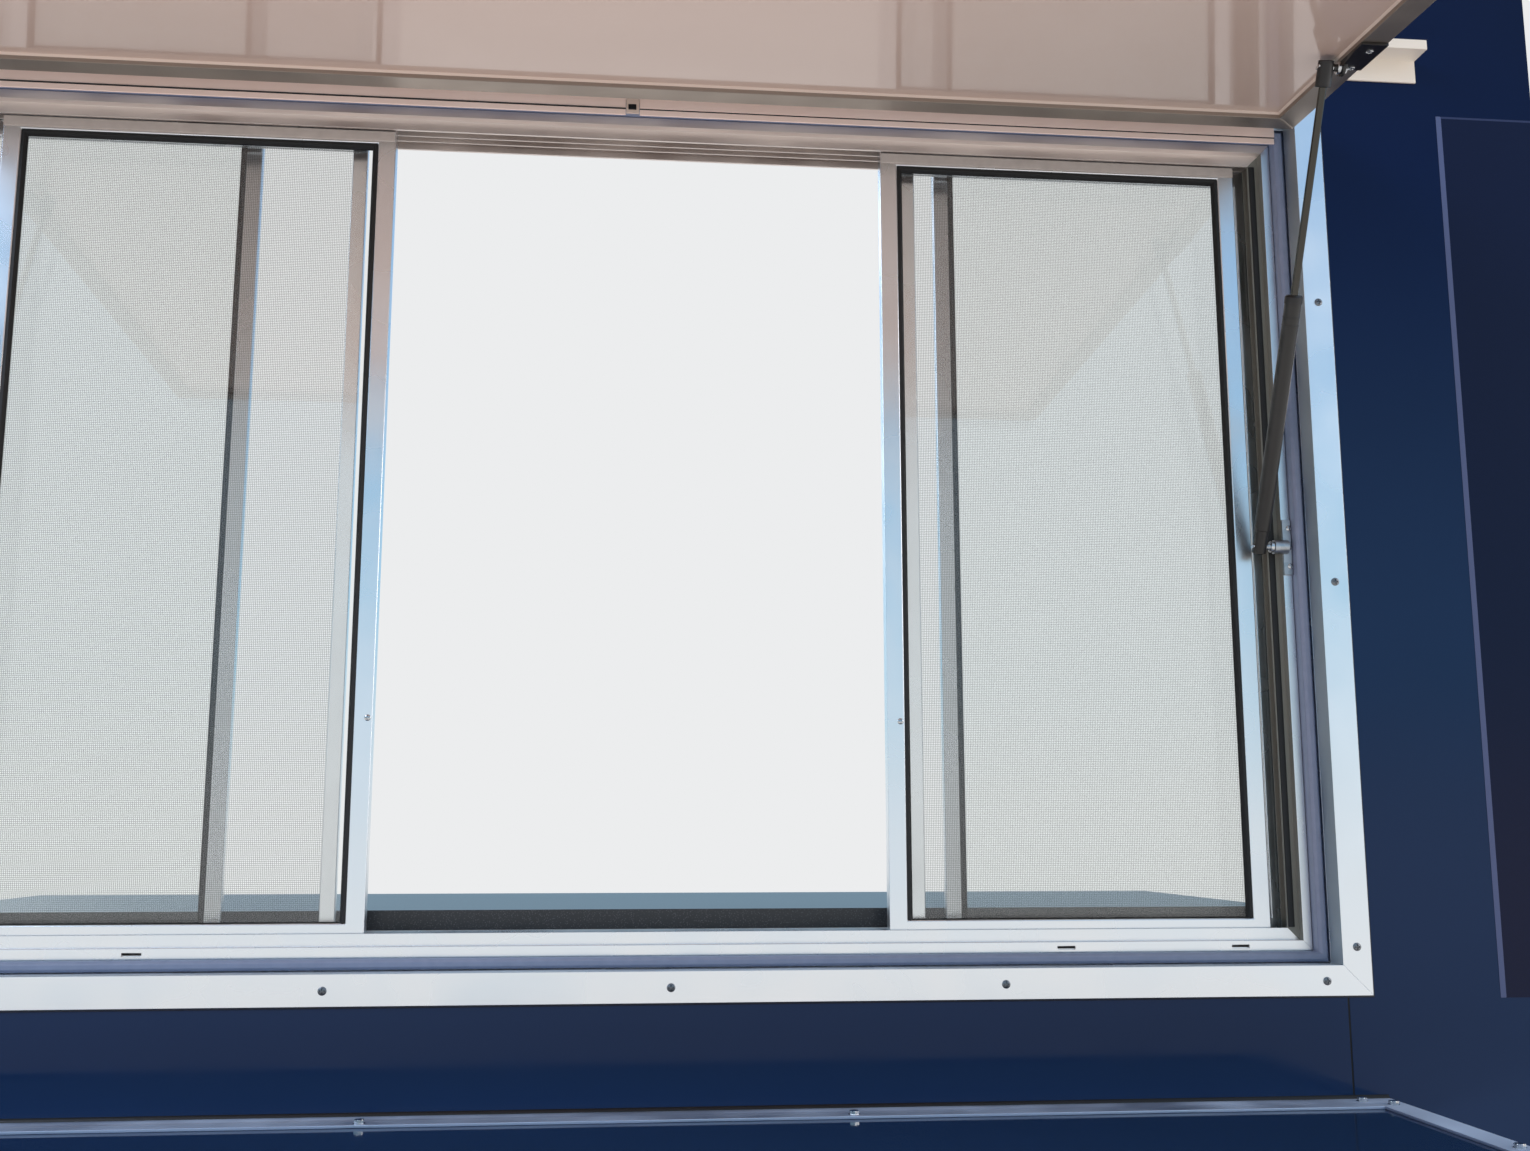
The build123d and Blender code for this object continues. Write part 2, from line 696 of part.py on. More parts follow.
def make_shelf():
    """Fold-down outside shelf: wall rail, hinge, top with rims, folding links and their channels."""
    half = shelf_length / 2
    y_rail = y_outer - shelf_rail_depth
    z_low = shelf_top - shelf_thickness
    axis_y = y_rail - 2
    axis_z = z_low - shelf_hinge_drop
    with BuildPart() as rail:
        with BuildSketch(side(-half)):
            with Locations(((y_outer + y_rail) / 2, shelf_top - shelf_rail_height / 2)):
                Rectangle(shelf_rail_depth, shelf_rail_height)
                Rectangle(shelf_rail_depth - 2 * shelf_tube_wall, shelf_rail_height - 2 * shelf_tube_wall,
                          mode=Mode.SUBTRACT)
        extrude(amount=shelf_length)
    export(rail.part, "shelf_rail")

    # The rim is an angle, lapped over the navy board on top and round its edges.
    y_back = y_rail - shelf_back_gap
    y_front = y_back - shelf_depth
    with BuildPart() as rim:
        for z_from, z_to, end_width, back_width in (
            (z_low, shelf_top - shelf_rim_wall, shelf_rim_wall, shelf_rim_wall),
            (shelf_top - shelf_rim_wall, shelf_top, shelf_end_rim, shelf_back_rim),
        ):
            with BuildSketch(Plane.XY.offset(z_from)):
                with Locations((0, (y_front + y_back) / 2)):
                    Rectangle(shelf_length, shelf_depth)
                    Rectangle(shelf_length - 2 * end_width, shelf_depth - 2 * back_width, mode=Mode.SUBTRACT)
            extrude(amount=z_to - z_from)
    export(rim.part, "shelf_rim")
    with BuildPart() as top:
        with BuildSketch(Plane.XY.offset(z_low)):
            with Locations((0, (y_front + y_back) / 2)):
                Rectangle(shelf_length - 2 * shelf_rim_wall, shelf_depth - 2 * shelf_rim_wall)
        extrude(amount=shelf_thickness - shelf_rim_wall)
    export(top.part, "shelf_top")

    pitch = shelf_length / shelf_knuckle_count
    starts = [-half + i * pitch + knuckle_gap / 2 for i in range(shelf_knuckle_count)]
    length = pitch - knuckle_gap
    for name, odd in (("shelf_rail_leaf", 0), ("shelf_leaf", 1)):
        with BuildPart() as leaf:
            for x in starts[odd::2]:
                with BuildSketch(side(x)):
                    with Locations((axis_y, axis_z)):
                        Circle(shelf_knuckle_radius)
                extrude(amount=length)
            toward = -1 if odd else 1
            with BuildSketch(Plane.XY.offset(z_low - leaf_thickness)):
                with Locations((0, axis_y + toward * (shelf_knuckle_radius + leaf_width / 2))):
                    Rectangle(shelf_length, leaf_width)
                with Locations(*[(x + length / 2, axis_y + toward * (shelf_knuckle_radius + leaf_thickness) / 2)
                                 for x in starts[odd::2]]):
                    Rectangle(length, shelf_knuckle_radius + leaf_thickness)
            extrude(amount=leaf_thickness)
            with BuildSketch(side(-half)):
                with Locations((axis_y, axis_z)):
                    Circle(pin_radius + pin_gap if odd else pin_radius)
            extrude(amount=shelf_length, mode=Mode.SUBTRACT if odd else Mode.ADD)
        export(leaf.part, name)

    # Folding links: pinned to a lug under the shelf, with the foot running in a wall channel.
    pin_y = axis_y - link_arm
    pin_z = z_low - link_drop
    foot_y = y_outer - channel_wall - link_width / 2 - foot_gap
    foot_z = pin_z - link_foot_drop
    run = hypot(foot_y - pin_y, foot_z - pin_z)
    toward = (0, (foot_y - pin_y) / run, (foot_z - pin_z) / run)
    for end, label in ((-1, "left"), (1, "right")):
        link_plane = Plane(origin=(end * link_x - link_thickness / 2, (pin_y + foot_y) / 2,
                                   (pin_z + foot_z) / 2), x_dir=toward, z_dir=(1, 0, 0))
        with BuildPart() as link:
            with BuildSketch(link_plane):
                SlotCenterToCenter(run, link_width)
                with Locations((-run / 2, 0)):
                    Circle(link_pin_radius + pin_gap, mode=Mode.SUBTRACT)
            extrude(amount=link_thickness)
        export(link.part, f"shelf_link_{label}")
    with BuildPart() as lugs:
        for end in (-1, 1):
            for face in (-1, 1):
                x_lug = end * link_x + face * (link_thickness / 2 + lug_gap)
                with BuildSketch(side(x_lug)):
                    Polygon((pin_y - lug_foot, z_low), (pin_y + lug_foot, z_low),
                            (pin_y + lug_tip, pin_z - lug_thickness),
                            (pin_y - lug_tip, pin_z - lug_thickness), align=None)
                extrude(amount=face * lug_thickness)
            with BuildSketch(side(end * link_x - link_thickness / 2 - 2 * lug_gap)):
                with Locations((pin_y, pin_z)):
                    Circle(link_pin_radius)
            extrude(amount=link_thickness + 4 * lug_gap)
    export(lugs.part, "shelf_lugs")

    folded_foot = axis_z - link_arm - run
    z_bottom = folded_foot - channel_play
    z_top = foot_z + channel_over
    with BuildPart() as channels:
        for end in (-1, 1):
            with BuildSketch(Plane.XY.offset(z_bottom)):
                with Locations((end * link_x, y_outer - channel_depth / 2)):
                    Rectangle(channel_width, channel_depth)
                with Locations((end * link_x, y_outer - channel_depth / 2 - channel_wall)):
                    Rectangle(channel_width - 2 * channel_wall, channel_depth, mode=Mode.SUBTRACT)
            extrude(amount=z_top - z_bottom)
    export(channels.part, "shelf_channels")


def make_counter():
    """Counter behind the sill, on gusset brackets off the lining."""
    y_front = y_window_back + counter_gap
    y_back = y_front + counter_depth
    z_low = counter_top - counter_thickness
    with BuildPart() as counter:
        with BuildSketch(Plane.XY.offset(z_low)):
            with Locations((0, (y_front + y_back) / 2)):
                Rectangle(counter_width, counter_depth)
        extrude(amount=counter_thickness)
        fillet(counter.edges().filter_by(Axis.X).group_by(Axis.Y)[-1], counter_thickness / 5)
    export(counter.part, "inner_counter")
    z_step = z_cut_low - flange_width - casing_gap
    with BuildPart() as brackets:
        x_bracket = counter_width / 2 - counter_bracket_inset
        for x in (-x_bracket, 0, x_bracket):
            with BuildSketch(side(x)):
                Polygon((y_inner, z_step), (y_front, z_step), (y_front, z_low),
                        (y_front + counter_bracket_length, z_low),
                        (y_front + counter_bracket_length, z_low - counter_bracket_toe),
                        (y_inner + counter_bracket_heel, z_low - counter_bracket_height),
                        (y_inner, z_low - counter_bracket_height), align=None)
            extrude(amount=counter_bracket_wall)
    export(brackets.part, "counter_brackets")


os.makedirs("parts", exist_ok=True)
make_wall()
make_trim()
make_window_frame()
make_sashes()
make_hatch()
make_struts()
make_hinge()
make_gutter()
make_shelf()
make_counter()
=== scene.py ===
import json
import math

import bmesh
import bpy
import numpy as np
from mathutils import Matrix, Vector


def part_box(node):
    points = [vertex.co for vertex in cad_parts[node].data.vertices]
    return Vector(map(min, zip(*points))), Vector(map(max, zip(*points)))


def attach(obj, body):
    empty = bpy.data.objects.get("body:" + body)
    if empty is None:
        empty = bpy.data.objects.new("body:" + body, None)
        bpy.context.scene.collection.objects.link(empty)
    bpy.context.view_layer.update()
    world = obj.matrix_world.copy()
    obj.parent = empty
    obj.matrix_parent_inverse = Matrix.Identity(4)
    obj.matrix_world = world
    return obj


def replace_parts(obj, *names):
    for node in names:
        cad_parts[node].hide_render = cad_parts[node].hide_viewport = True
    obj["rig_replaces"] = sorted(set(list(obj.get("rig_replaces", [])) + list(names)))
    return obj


# Food truck serving bay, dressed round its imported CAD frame.
# X runs along the wall, Y from the street into the truck and Z up. Pieces are worked out
# in millimetres, and meshFrom and softened turn them to Blender's metres.
mm = 0.001
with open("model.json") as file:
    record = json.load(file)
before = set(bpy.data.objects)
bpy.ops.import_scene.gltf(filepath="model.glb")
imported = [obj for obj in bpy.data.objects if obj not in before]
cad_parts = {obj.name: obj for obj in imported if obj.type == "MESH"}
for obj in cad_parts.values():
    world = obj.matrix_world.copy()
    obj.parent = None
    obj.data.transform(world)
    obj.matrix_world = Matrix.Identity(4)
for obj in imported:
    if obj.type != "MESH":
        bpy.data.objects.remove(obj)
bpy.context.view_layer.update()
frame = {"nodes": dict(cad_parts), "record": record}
record = frame["record"]
bodyOf = {node: body for body, nodes in record["behaviour"]["bodies"].items() for node in nodes}


def toLinear(code):
    # sRGB hex to linear red, green, blue and a full alpha
    channels = np.array([int(code[i:i + 2], 16) for i in (1, 3, 5)]) / 255
    linear = np.where(channels <= 0.04045, channels / 12.92, ((channels + 0.055) / 1.055) ** 2.4)
    return (*linear.tolist(), 1.0)


def addNode(tree, kind, sockets=None, **settings):
    # settings are the node's own choices; a socket given a node's output is linked to it, one
    # given a node is linked to the first output in use, and any other value is set
    node = tree.nodes.new("ShaderNode" + kind)
    for key, value in settings.items():
        setattr(node, key, value)
    for key, value in (sockets or {}).items():
        if isinstance(value, bpy.types.Node):
            value = next(output for output in value.outputs if output.enabled)
        if isinstance(value, bpy.types.NodeSocket):
            tree.links.new(value, node.inputs[key])
        else:
            node.inputs[key].default_value = value
    return node


def newMaterial(name):
    material = bpy.data.materials.new(name)
    material.use_nodes = True
    tree = material.node_tree
    tree.nodes.clear()
    return material, tree, addNode(tree, "TexCoord").outputs["Object"]


def shade(tree, sockets):
    addNode(tree, "OutputMaterial", {"Surface": addNode(tree, "BsdfPrincipled", sockets)})


def noise(tree, place, size, detail=2.0, **more):
    # clouds of that size in mm
    return addNode(tree, "TexNoise", {"Vector": place, "Scale": 1000 / size, "Detail": detail,
                                      **more})


def cells(tree, place, size, **settings):
    # cells of that size in mm
    return addNode(tree, "TexVoronoi", {"Vector": place, "Scale": 1000 / size}, **settings)


def colours(tree, share, one, other):
    # one colour at a share of 0 and the other at 1; each is a hex code or a node
    one, other = (toLinear(c) if isinstance(c, str) else c for c in (one, other))
    return addNode(tree, "Mix", {0: share, 6: one, 7: other}, data_type="RGBA")


def rescaled(tree, value, low, high, start=0.0, end=1.0, **settings):
    # start to end in the value becomes low to high
    return addNode(tree, "MapRange", {"Value": value, "From Min": start, "From Max": end,
                                      "To Min": low, "To Max": high}, **settings)


def raised(tree, height, depth, **more):
    # a height of 0 to 1 as a relief of that depth in mm
    return addNode(tree, "Bump", {"Height": height, "Distance": depth * mm, **more})


def makeFinish(name, sockets, clouds=None, rough=None, relief=None):
    # sockets are the shader's constants. clouds are (size in mm, detail, two colours): noise of
    # that size drifts the colour from one to the other. rough is (low, high) over the same
    # clouds, and relief is (size in mm, detail, depth in mm), a noise of its own raised as bump.
    material, tree, place = newMaterial(name)
    sockets = dict(sockets)
    if clouds:
        size, detail, one, other = clouds
        drift = noise(tree, place, size, detail)
        sockets["Base Color"] = colours(tree, drift, one, other)
    if rough:
        sockets["Roughness"] = rescaled(tree, drift, *rough)
    if relief:
        size, detail, depth = relief
        sockets["Normal"] = raised(tree, noise(tree, place, size, detail), depth)
    shade(tree, sockets)
    return material


# Gloss enamel rolled on aluminium sheet: deep navy under a clear skin, faint orange peel and
# slack panels. The specular level is low because the skin has chalked a little, and a film of
# road dust pales it towards the bottom, from the height filmTop to the height filmFull.
enamel = dict(navy="#06112d", bluer="#0c2150", film="#26426a", filmTop=1.8, filmFull=1.2,
              filmShare=0.55, patchMm=625, dustMm=130, gloss=(0.05, 0.13), slackMm=420,
              slackDepth=1.6, peelMm=2.2, peelDepth=0.006)
glossEnamelNavy, tree, place = newMaterial("glossEnamelNavy")
drift = noise(tree, place, enamel["patchMm"], 3.0)
dust = noise(tree, place, enamel["dustMm"], 7.0, Roughness=0.7)
slack = noise(tree, place, enamel["slackMm"], 1.0)
height = addNode(tree, "SeparateXYZ", {0: place}).outputs["Z"]
veil = rescaled(tree, height, 0.0, enamel["filmShare"], enamel["filmTop"], enamel["filmFull"],
                interpolation_type="SMOOTHSTEP")
colour = colours(tree, drift, enamel["navy"], enamel["bluer"])
shade(tree, {
    "Base Color": colours(tree, veil, colour, enamel["film"]),
    "Roughness": rescaled(tree, dust, *enamel["gloss"], 0.35, 0.75),
    "Normal": raised(tree, noise(tree, place, enamel["peelMm"]), enamel["peelDepth"],
                     Normal=raised(tree, slack, enamel["slackDepth"])),
    "IOR": 1.4, "Specular IOR Level": 0.2})

extrusion = dict(lineMm=0.6, alongLine=3.0, lineDepth=0.006, stainMm=110)


def makeAluminium(name, along, dull, bright, roughness, metal=1.0):
    # Mill-finish extruded aluminium: bright, with fine die lines along the extrusion and soft
    # cloudy stains. The lines are 0.6 mm apart, drawn coarser than real so that they show.
    material, tree, place = newMaterial(name)
    stretch = [1000 / extrusion["lineMm"]] * 3
    stretch["XYZ".index(along)] = extrusion["alongLine"]
    drawn = addNode(tree, "Mapping", {"Vector": place, "Scale": stretch})
    stain = noise(tree, place, extrusion["stainMm"], 2.5)
    shade(tree, {
        "Base Color": colours(tree, stain, dull, bright),
        "Roughness": rescaled(tree, stain, roughness, roughness * 1.8, 0.3, 0.7),
        "Normal": raised(tree, noise(tree, drawn, 1000), extrusion["lineDepth"]),
        "Metallic": metal, "Anisotropic": 0.3})
    return material


millAluminiumX = makeAluminium("millAluminiumX", "X", "#dfe2e7", "#f3f3f4", 0.2)
millAluminiumZ = makeAluminium("millAluminiumZ", "Z", "#dfe2e7", "#f3f3f4", 0.2)
# Where it is sheltered it has gone satin: the head, the sill's tracks and the trim's inner legs.
# The pink tint on the head and the sill is painted reflection of warm light from below, and the
# inner legs' darker grey is painted shade.
satinPinkLitAluminiumX = makeAluminium("satinPinkLitAluminiumX", "X", "#e6dbd6", "#f6eee9", 0.42)
satinShadedAluminiumZ = makeAluminium("satinShadedAluminiumZ", "Z", "#bdc5ca", "#d2d8db", 0.42)
# Inside the jambs it is half metal, half dull grey: painted shade in the deep recess
jambShadeAluminiumZ = makeAluminium("jambShadeAluminiumZ", "Z", "#7f8480", "#979b96", 0.5, 0.45)
# The shelf's rail and border are rubbed dull by hands and trays; their blue tint is painted sky
# reflection, and the border's members along Y are painted darker as shade
shelfSkyLitAluminiumX = makeAluminium("shelfSkyLitAluminiumX", "X", "#b9c6da", "#d3dcea", 0.5)
shelfShadedAluminiumY = makeAluminium("shelfShadedAluminiumY", "Y", "#9ea6bd", "#b4bbd0", 0.5)
# The hatch's welded channel, dulled in the weather: its brown-grey is painted shade under the
# hatch with a painted warm reflection
shadedBrownAluminiumX = makeAluminium("shadedBrownAluminiumX", "X", "#a2968d", "#b8ada4", 0.36)
shadedBrownAluminiumZ = makeAluminium("shadedBrownAluminiumZ", "Z", "#a2968d", "#b8ada4", 0.36)

# Aluminium flat bar with a baked white coat, satin, for the cover strips; its warm pink tint is
# painted light bounced up from below
pinkLitBakedWhite = makeFinish("pinkLitBakedWhite", {"Roughness": 0.35, "IOR": 1.5},
                            clouds=(160, 4.0, "#f3ddd2", "#faf0ec"))
# Coil-coated off-white sheet with a wet gloss, slightly slack
glossCoatedSheet = makeFinish(
    "glossCoatedSheet",
    {"Roughness": 0.12, "IOR": 1.5, "Coat Weight": 0.5, "Coat Roughness": 0.03},
    clouds=(210, 5.0, "#c9b5aa", "#d5c4ba"), relief=(260, 1.0, 1.2))
# Extruded PVC, satin white, for the board's joint strips
extrudedPvcWhite = makeFinish("extrudedPvcWhite", {"Roughness": 0.36, "IOR": 1.53},
                              clouds=(120, 3.0, "#d9d7cb", "#e3e2dc"))
# Powder coat, warm white, satin with a fine orange peel 1.5 mm across and a little grime in it
powderCoatWhite = makeFinish("powderCoatWhite", {"Roughness": 0.34, "IOR": 1.5},
                             clouds=(90, 6.0, "#efe8da", "#fbf8f0"), relief=(1.5, 1.0, 0.02))
# Baked black paint on a drawn steel tube: one colour, scuffed duller in patches
blackPaintedSteel = makeFinish(
    "blackPaintedSteel", {"IOR": 1.5, "Coat Weight": 0.15, "Coat Roughness": 0.25},
    clouds=(9, 4.0, "#1a1918", "#1a1918"), rough=(0.22, 0.5))
# Nitrided piston rod: dark ground steel, turned lines 0.8 mm apart, coarser than real to show
nitridedSteelRod = makeFinish(
    "nitridedSteelRod",
    {"Base Color": toLinear("#4a4844"), "Metallic": 1.0, "Roughness": 0.16},
    relief=(0.8, 1.0, 0.004))
# Glass-filled nylon, moulded: dull black with a fine grain
glassFilledNylon = makeFinish(
    "glassFilledNylon", {"Base Color": toLinear("#19191b"), "Roughness": 0.48, "IOR": 1.53},
    relief=(0.8, 2.0, 0.03))


def makeRubber(name, dark, bloomed, roughness):
    # Extruded EPDM rubber: dull, with a faint paler bloom in clouds about 14 mm across
    return makeFinish(name, {"IOR": 1.52}, clouds=(14, 4.0, dark, bloomed),
                      rough=(roughness * 0.8, roughness * 1.2))


epdmRubber = makeRubber("epdmRubber", "#0e0f10", "#1e1f21", 0.62)
slateBulbRubber = makeRubber("slateBulbRubber", "#7889a9", "#8c9cbc", 0.38)
# Wool pile weatherstrip takes the same clouds: grey, duller than rubber
woolPileGrey = makeRubber("woolPileGrey", "#a9a6a3", "#c6c3bf", 0.75)


def makeStainless(name, colour, roughness):
    # Stainless steel, cold-headed or turned: bright, its lathe lines drawn 1.2 mm apart to show
    return makeFinish(name, {"Base Color": toLinear(colour), "Metallic": 1.0,
                             "Roughness": roughness}, relief=(1.2, 2.0, 0.01))


stainlessSteel = makeStainless("stainlessSteel", "#c9cacc", 0.2)
weatheredStainless = makeStainless("weatheredStainless", "#7d7f83", 0.4)


def makeVinyl(name, colour, roughness):
    # Cast vinyl film, laid by hand: satin, with the squeegee's faint waves 35 mm apart
    return makeFinish(name, {"Base Color": toLinear(colour), "Roughness": roughness,
                             "IOR": 1.46, "Specular IOR Level": 0.2}, relief=(35, 1.0, 0.08))


castVinylNavy = makeVinyl("castVinylNavy", "#0f1838", 0.17)
castVinylPale = makeVinyl("castVinylPale", "#56648d", 0.22)
castVinylDim = makeVinyl("castVinylDim", "#343f63", 0.22)


def makeSealant(name, colour):
    # Neutral-cure silicone, tooled with a wet finger: satin, with ripples 9 mm apart
    return makeFinish(name, {"Base Color": toLinear(colour), "Roughness": 0.4, "IOR": 1.41},
                      relief=(9, 2.0, 0.15))


siliconeGrey = makeSealant("siliconeGrey", "#3b3f47")
siliconeBlack = makeSealant("siliconeBlack", "#16181c")
siliconeBeige = makeSealant("siliconeBeige", "#d8ccc2")

# Float glass, clear with a trace of green in its body
floatGlass = makeFinish("floatGlass", {"Base Color": toLinear("#fcfefd"), "Roughness": 0.0,
                                       "IOR": 1.5, "Transmission Weight": 1.0})

# Fibre-reinforced wall board: satin white with a moulded pebble about 4 mm across
pebbledWallBoard, tree, place = newMaterial("pebbledWallBoard")
pebble = cells(tree, place, 4.0, feature="SMOOTH_F1")
shade(tree, {"Base Color": toLinear("#dddcd5"), "Roughness": 0.42, "IOR": 1.5,
             "Normal": raised(tree, pebble, 0.25)})

# Closed-cell foam, cut: pale yellow with 1.5 mm cells
closedCellFoam, tree, place = newMaterial("closedCellFoam")
shade(tree, {"Base Color": toLinear("#d9cfa6"), "Roughness": 0.85,
             "Normal": raised(tree, cells(tree, place, 1.5), 0.3)})

# Woven insect screen: grey coated yarn, drawn at 2 mm pitch, a third coarser than the real one,
# so that it shows. A thread's cover over the pitch is cover ((1 + cos) / 2) ^ sharpness, which
# gives it a soft round edge.
weave = dict(pitchMm=2.0, sharpness=6.0, cover=0.42)
wovenInsectScreen, tree, place = newMaterial("wovenInsectScreen")
axes = addNode(tree, "SeparateXYZ", {0: place})
threads = []
for axis in ("X", "Z"):
    node = axes.outputs[axis]
    for operation, *numbers in (("MULTIPLY", 2 * math.pi * 1000 / weave["pitchMm"]), ("COSINE",),
                                ("MULTIPLY_ADD", 0.5, 0.5), ("POWER", weave["sharpness"]),
                                ("MULTIPLY", weave["cover"])):
        node = addNode(tree, "Math", {0: node, **dict(enumerate(numbers, 1))},
                       operation=operation)
    threads.append(node)
shade(tree, {"Base Color": toLinear("#8b9097"), "Roughness": 0.55,
             "Alpha": addNode(tree, "Math", dict(enumerate(threads)), operation="MAXIMUM")})

# Zinc plate on pressed steel: grey, patchy spangle about 8 mm across
zincPlatedSteel, tree, place = newMaterial("zincPlatedSteel")
spangle = cells(tree, place, 8.0).outputs["Color"]
shade(tree, {"Base Color": colours(tree, spangle, "#a9adb2", "#c4c7cb"), "Metallic": 1.0,
             "Roughness": rescaled(tree, spangle, 0.28, 0.46)})

# High-pressure laminate, charcoal with a fine pale fleck 2 mm across
highPressureLaminate, tree, place = newMaterial("highPressureLaminate")
fleck = rescaled(tree, cells(tree, place, 2.0), 1.0, 0.0, 0.1, 0.34)
shade(tree, {"Base Color": colours(tree, fleck, "#2b2e33", "#5d6167"), "Roughness": 0.33,
             "IOR": 1.5})
print("materials made")


making = dict(merge=0.0005, sharp=32, favour=50)  # new pieces: mm, degrees, weight of large faces
rounding = dict(merge=0.002, coplanar=0.5, segments=2, sharp=35, favour=100)  # CAD solids


def flatFirst(piece, favour):
    # normals follow the large faces, so flat sheet stays optically flat up to its rounded edges
    weighted = piece.modifiers.new("flats", "WEIGHTED_NORMAL")
    weighted.mode = "FACE_AREA"
    weighted.weight = favour
    weighted.keep_sharp = True


def meshFrom(name, shape, material, body):
    # a shape is points (n, 3) in mm and quads (m, 4), as arrays. It makes one mesh at the
    # origin, riding on a body; poles whose points all coincide are merged, and the closed
    # shells are turned to face outwards.
    points, quads = shape
    mesh = bpy.data.meshes.new(name)
    mesh.from_pydata((points * mm).tolist(), [], quads.tolist())
    shell = bmesh.new()
    shell.from_mesh(mesh)
    bmesh.ops.remove_doubles(shell, verts=shell.verts, dist=making["merge"] * mm)
    bmesh.ops.recalc_face_normals(shell, faces=shell.faces)
    shell.to_mesh(mesh)
    shell.free()
    mesh.materials.append(material)
    mesh.shade_smooth()
    mesh.set_sharp_from_angle(angle=math.radians(making["sharp"]))
    piece = bpy.data.objects.new(name, mesh)
    bpy.context.scene.collection.objects.link(piece)
    flatFirst(piece, making["favour"])
    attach(piece, body)
    return piece


def gridQuads(rows, columns, ring=False):
    # quads of a grid of rows by columns of points: each row closes on itself, and a ring of
    # rows closes on its first row
    r = np.arange(rows if ring else rows - 1)
    r, c = (grid.ravel() for grid in np.meshgrid(r, np.arange(columns), indexing="ij"))
    rNext, cNext = (r + 1) % rows, (c + 1) % columns
    return np.stack([r * columns + c, r * columns + cNext,
                     rNext * columns + cNext, rNext * columns + c], axis=1)


def roundRectangle(profile, x0, x1, z0, z1):
    # a closed profile of (inset, y) carried round a rectangle with mitred corners:
    # each corner point is the rectangle's corner moved in by the inset along both sides
    inset, y = np.asarray(profile, float).T
    corners = np.array([[x0, z0, 1, 1], [x1, z0, -1, 1], [x1, z1, -1, -1], [x0, z1, 1, -1]], float)
    x = corners[:, None, 0] + corners[:, None, 2] * inset
    z = corners[:, None, 1] + corners[:, None, 3] * inset
    points = np.stack([x, np.broadcast_to(y, x.shape), z], axis=2).reshape(-1, 3)
    return points, gridQuads(4, len(inset), ring=True)


def alongX(profile, x0, x1):
    # a closed profile of (y, z) carried from x0 to x1, each end drawn in to the profile's middle
    y, z = np.asarray(profile, float).T
    ring = np.stack([np.zeros(len(y)), y, z], axis=1)
    middle = np.broadcast_to(ring.mean(axis=0), ring.shape)
    rows = np.stack([middle + [x0, 0, 0], ring + [x0, 0, 0], ring + [x1, 0, 0],
                     middle + [x1, 0, 0]])
    return rows.reshape(-1, 3), gridQuads(4, len(y))


def upright(profile, z0, z1):
    # a closed profile of (y, x) carried from z0 to z1: alongX with X and Z changed over
    points, quads = alongX(profile, z0, z1)
    return points[:, [2, 1, 0]], quads


def turned(profile, segments=32, hexRows=()):
    # a profile of (radius, height) turned about Z; the rows named are cut to a hexagon: radius
    # times cos(pi / 6) over the cosine of the angle from the nearest flat's middle
    radius, height = np.asarray(profile, float).T
    turn = np.linspace(0, 2 * np.pi, segments, endpoint=False)
    off = (turn + np.pi / 6) % (np.pi / 3) - np.pi / 6
    across = np.ones((len(radius), segments))
    across[list(hexRows)] = np.cos(np.pi / 6) / np.cos(off)
    r = radius[:, None] * across
    z = np.broadcast_to(height[:, None], r.shape)
    points = np.stack([r * np.cos(turn), r * np.sin(turn), z], axis=2)
    return points.reshape(-1, 3), gridQuads(len(radius), segments)


def roundedPlate(width, length, thickness, corner, edge, arc=6):
    # a plate lying in X and Y with quarter-circle corners: each ring's point is its corner's
    # centre plus (corner - inset) times the cosine and sine of the turn, and the rings step in
    # over the top edge
    turn = (np.arange(4)[:, None] * np.pi / 2 + np.linspace(0, np.pi / 2, arc)).ravel()
    signs = np.repeat(np.array([[1, 1], [-1, 1], [-1, -1], [1, -1]], float), arc, axis=0)
    centres = signs * [width / 2 - corner, length / 2 - corner]
    insets = np.array([corner, 0, 0, 0.3 * edge, edge, corner])[:, None, None]
    heights = np.array([0, 0, thickness - edge, thickness - 0.3 * edge, thickness, thickness])
    spread = np.array([0, 1, 1, 1, 1, 0])[:, None, None]
    circle = np.stack([np.cos(turn), np.sin(turn)], axis=1)
    flat = (centres + (corner - insets) * circle) * spread
    rise = np.broadcast_to(heights[:, None, None], (6, len(turn), 1))
    return np.concatenate([flat, rise], axis=2).reshape(-1, 3), gridQuads(6, len(turn))


rootDepth = -0.2  # how far a screw's or rivet's head is sunk in the sheet under it, in mm


def screwHead(radius, height, recess):
    # a pan head: height falls as an ellipse to the rim, and a cross is sunk in it, whose arms
    # reach out to recess and are recess / 5 wide to either side
    rings = np.array([0, 0.12, 0.22, 0.32, 0.42, 0.55, 0.7, 0.84, 0.94, 1.0, 1.0, 0])[:, None]
    turn = np.linspace(0, 2 * np.pi, 40, endpoint=False)
    r = radius * rings * np.ones_like(turn)
    x, y = r * np.cos(turn), r * np.sin(turn)
    z = height * np.sqrt(np.clip(1 - (rings * 0.92) ** 2, 0, 1)) * np.ones_like(turn)
    arm = np.minimum(np.abs(x), np.abs(y)) < recess / 5
    z = z - np.where(arm & (r < recess), height * 0.75, 0)
    z[-2:] = rootDepth
    return np.stack([x, y, z], axis=2).reshape(-1, 3), gridQuads(len(rings), len(turn))


def rivetHead(radius, height, segments=12):
    # a dome with few faces, for long rows: height cos(u), radius sin(u)
    u = np.radians([0, 35, 65, 90])
    return turned(np.column_stack([np.append(radius * np.sin(u), [radius, 0]),
                                   np.append(height * np.cos(u), [rootDepth] * 2)]), segments)


def boltHead(radius, height):
    # a hexagon head on a round washer face, its top corners turned off
    return turned([(0, rootDepth), (radius * 1.15, rootDepth), (radius * 1.15, 0.6),
                   (radius * 0.98, 0.8), (radius, 0.8), (radius, height - 0.5),
                   (radius * 0.9, height), (0, height)], 36, hexRows=(4, 5))


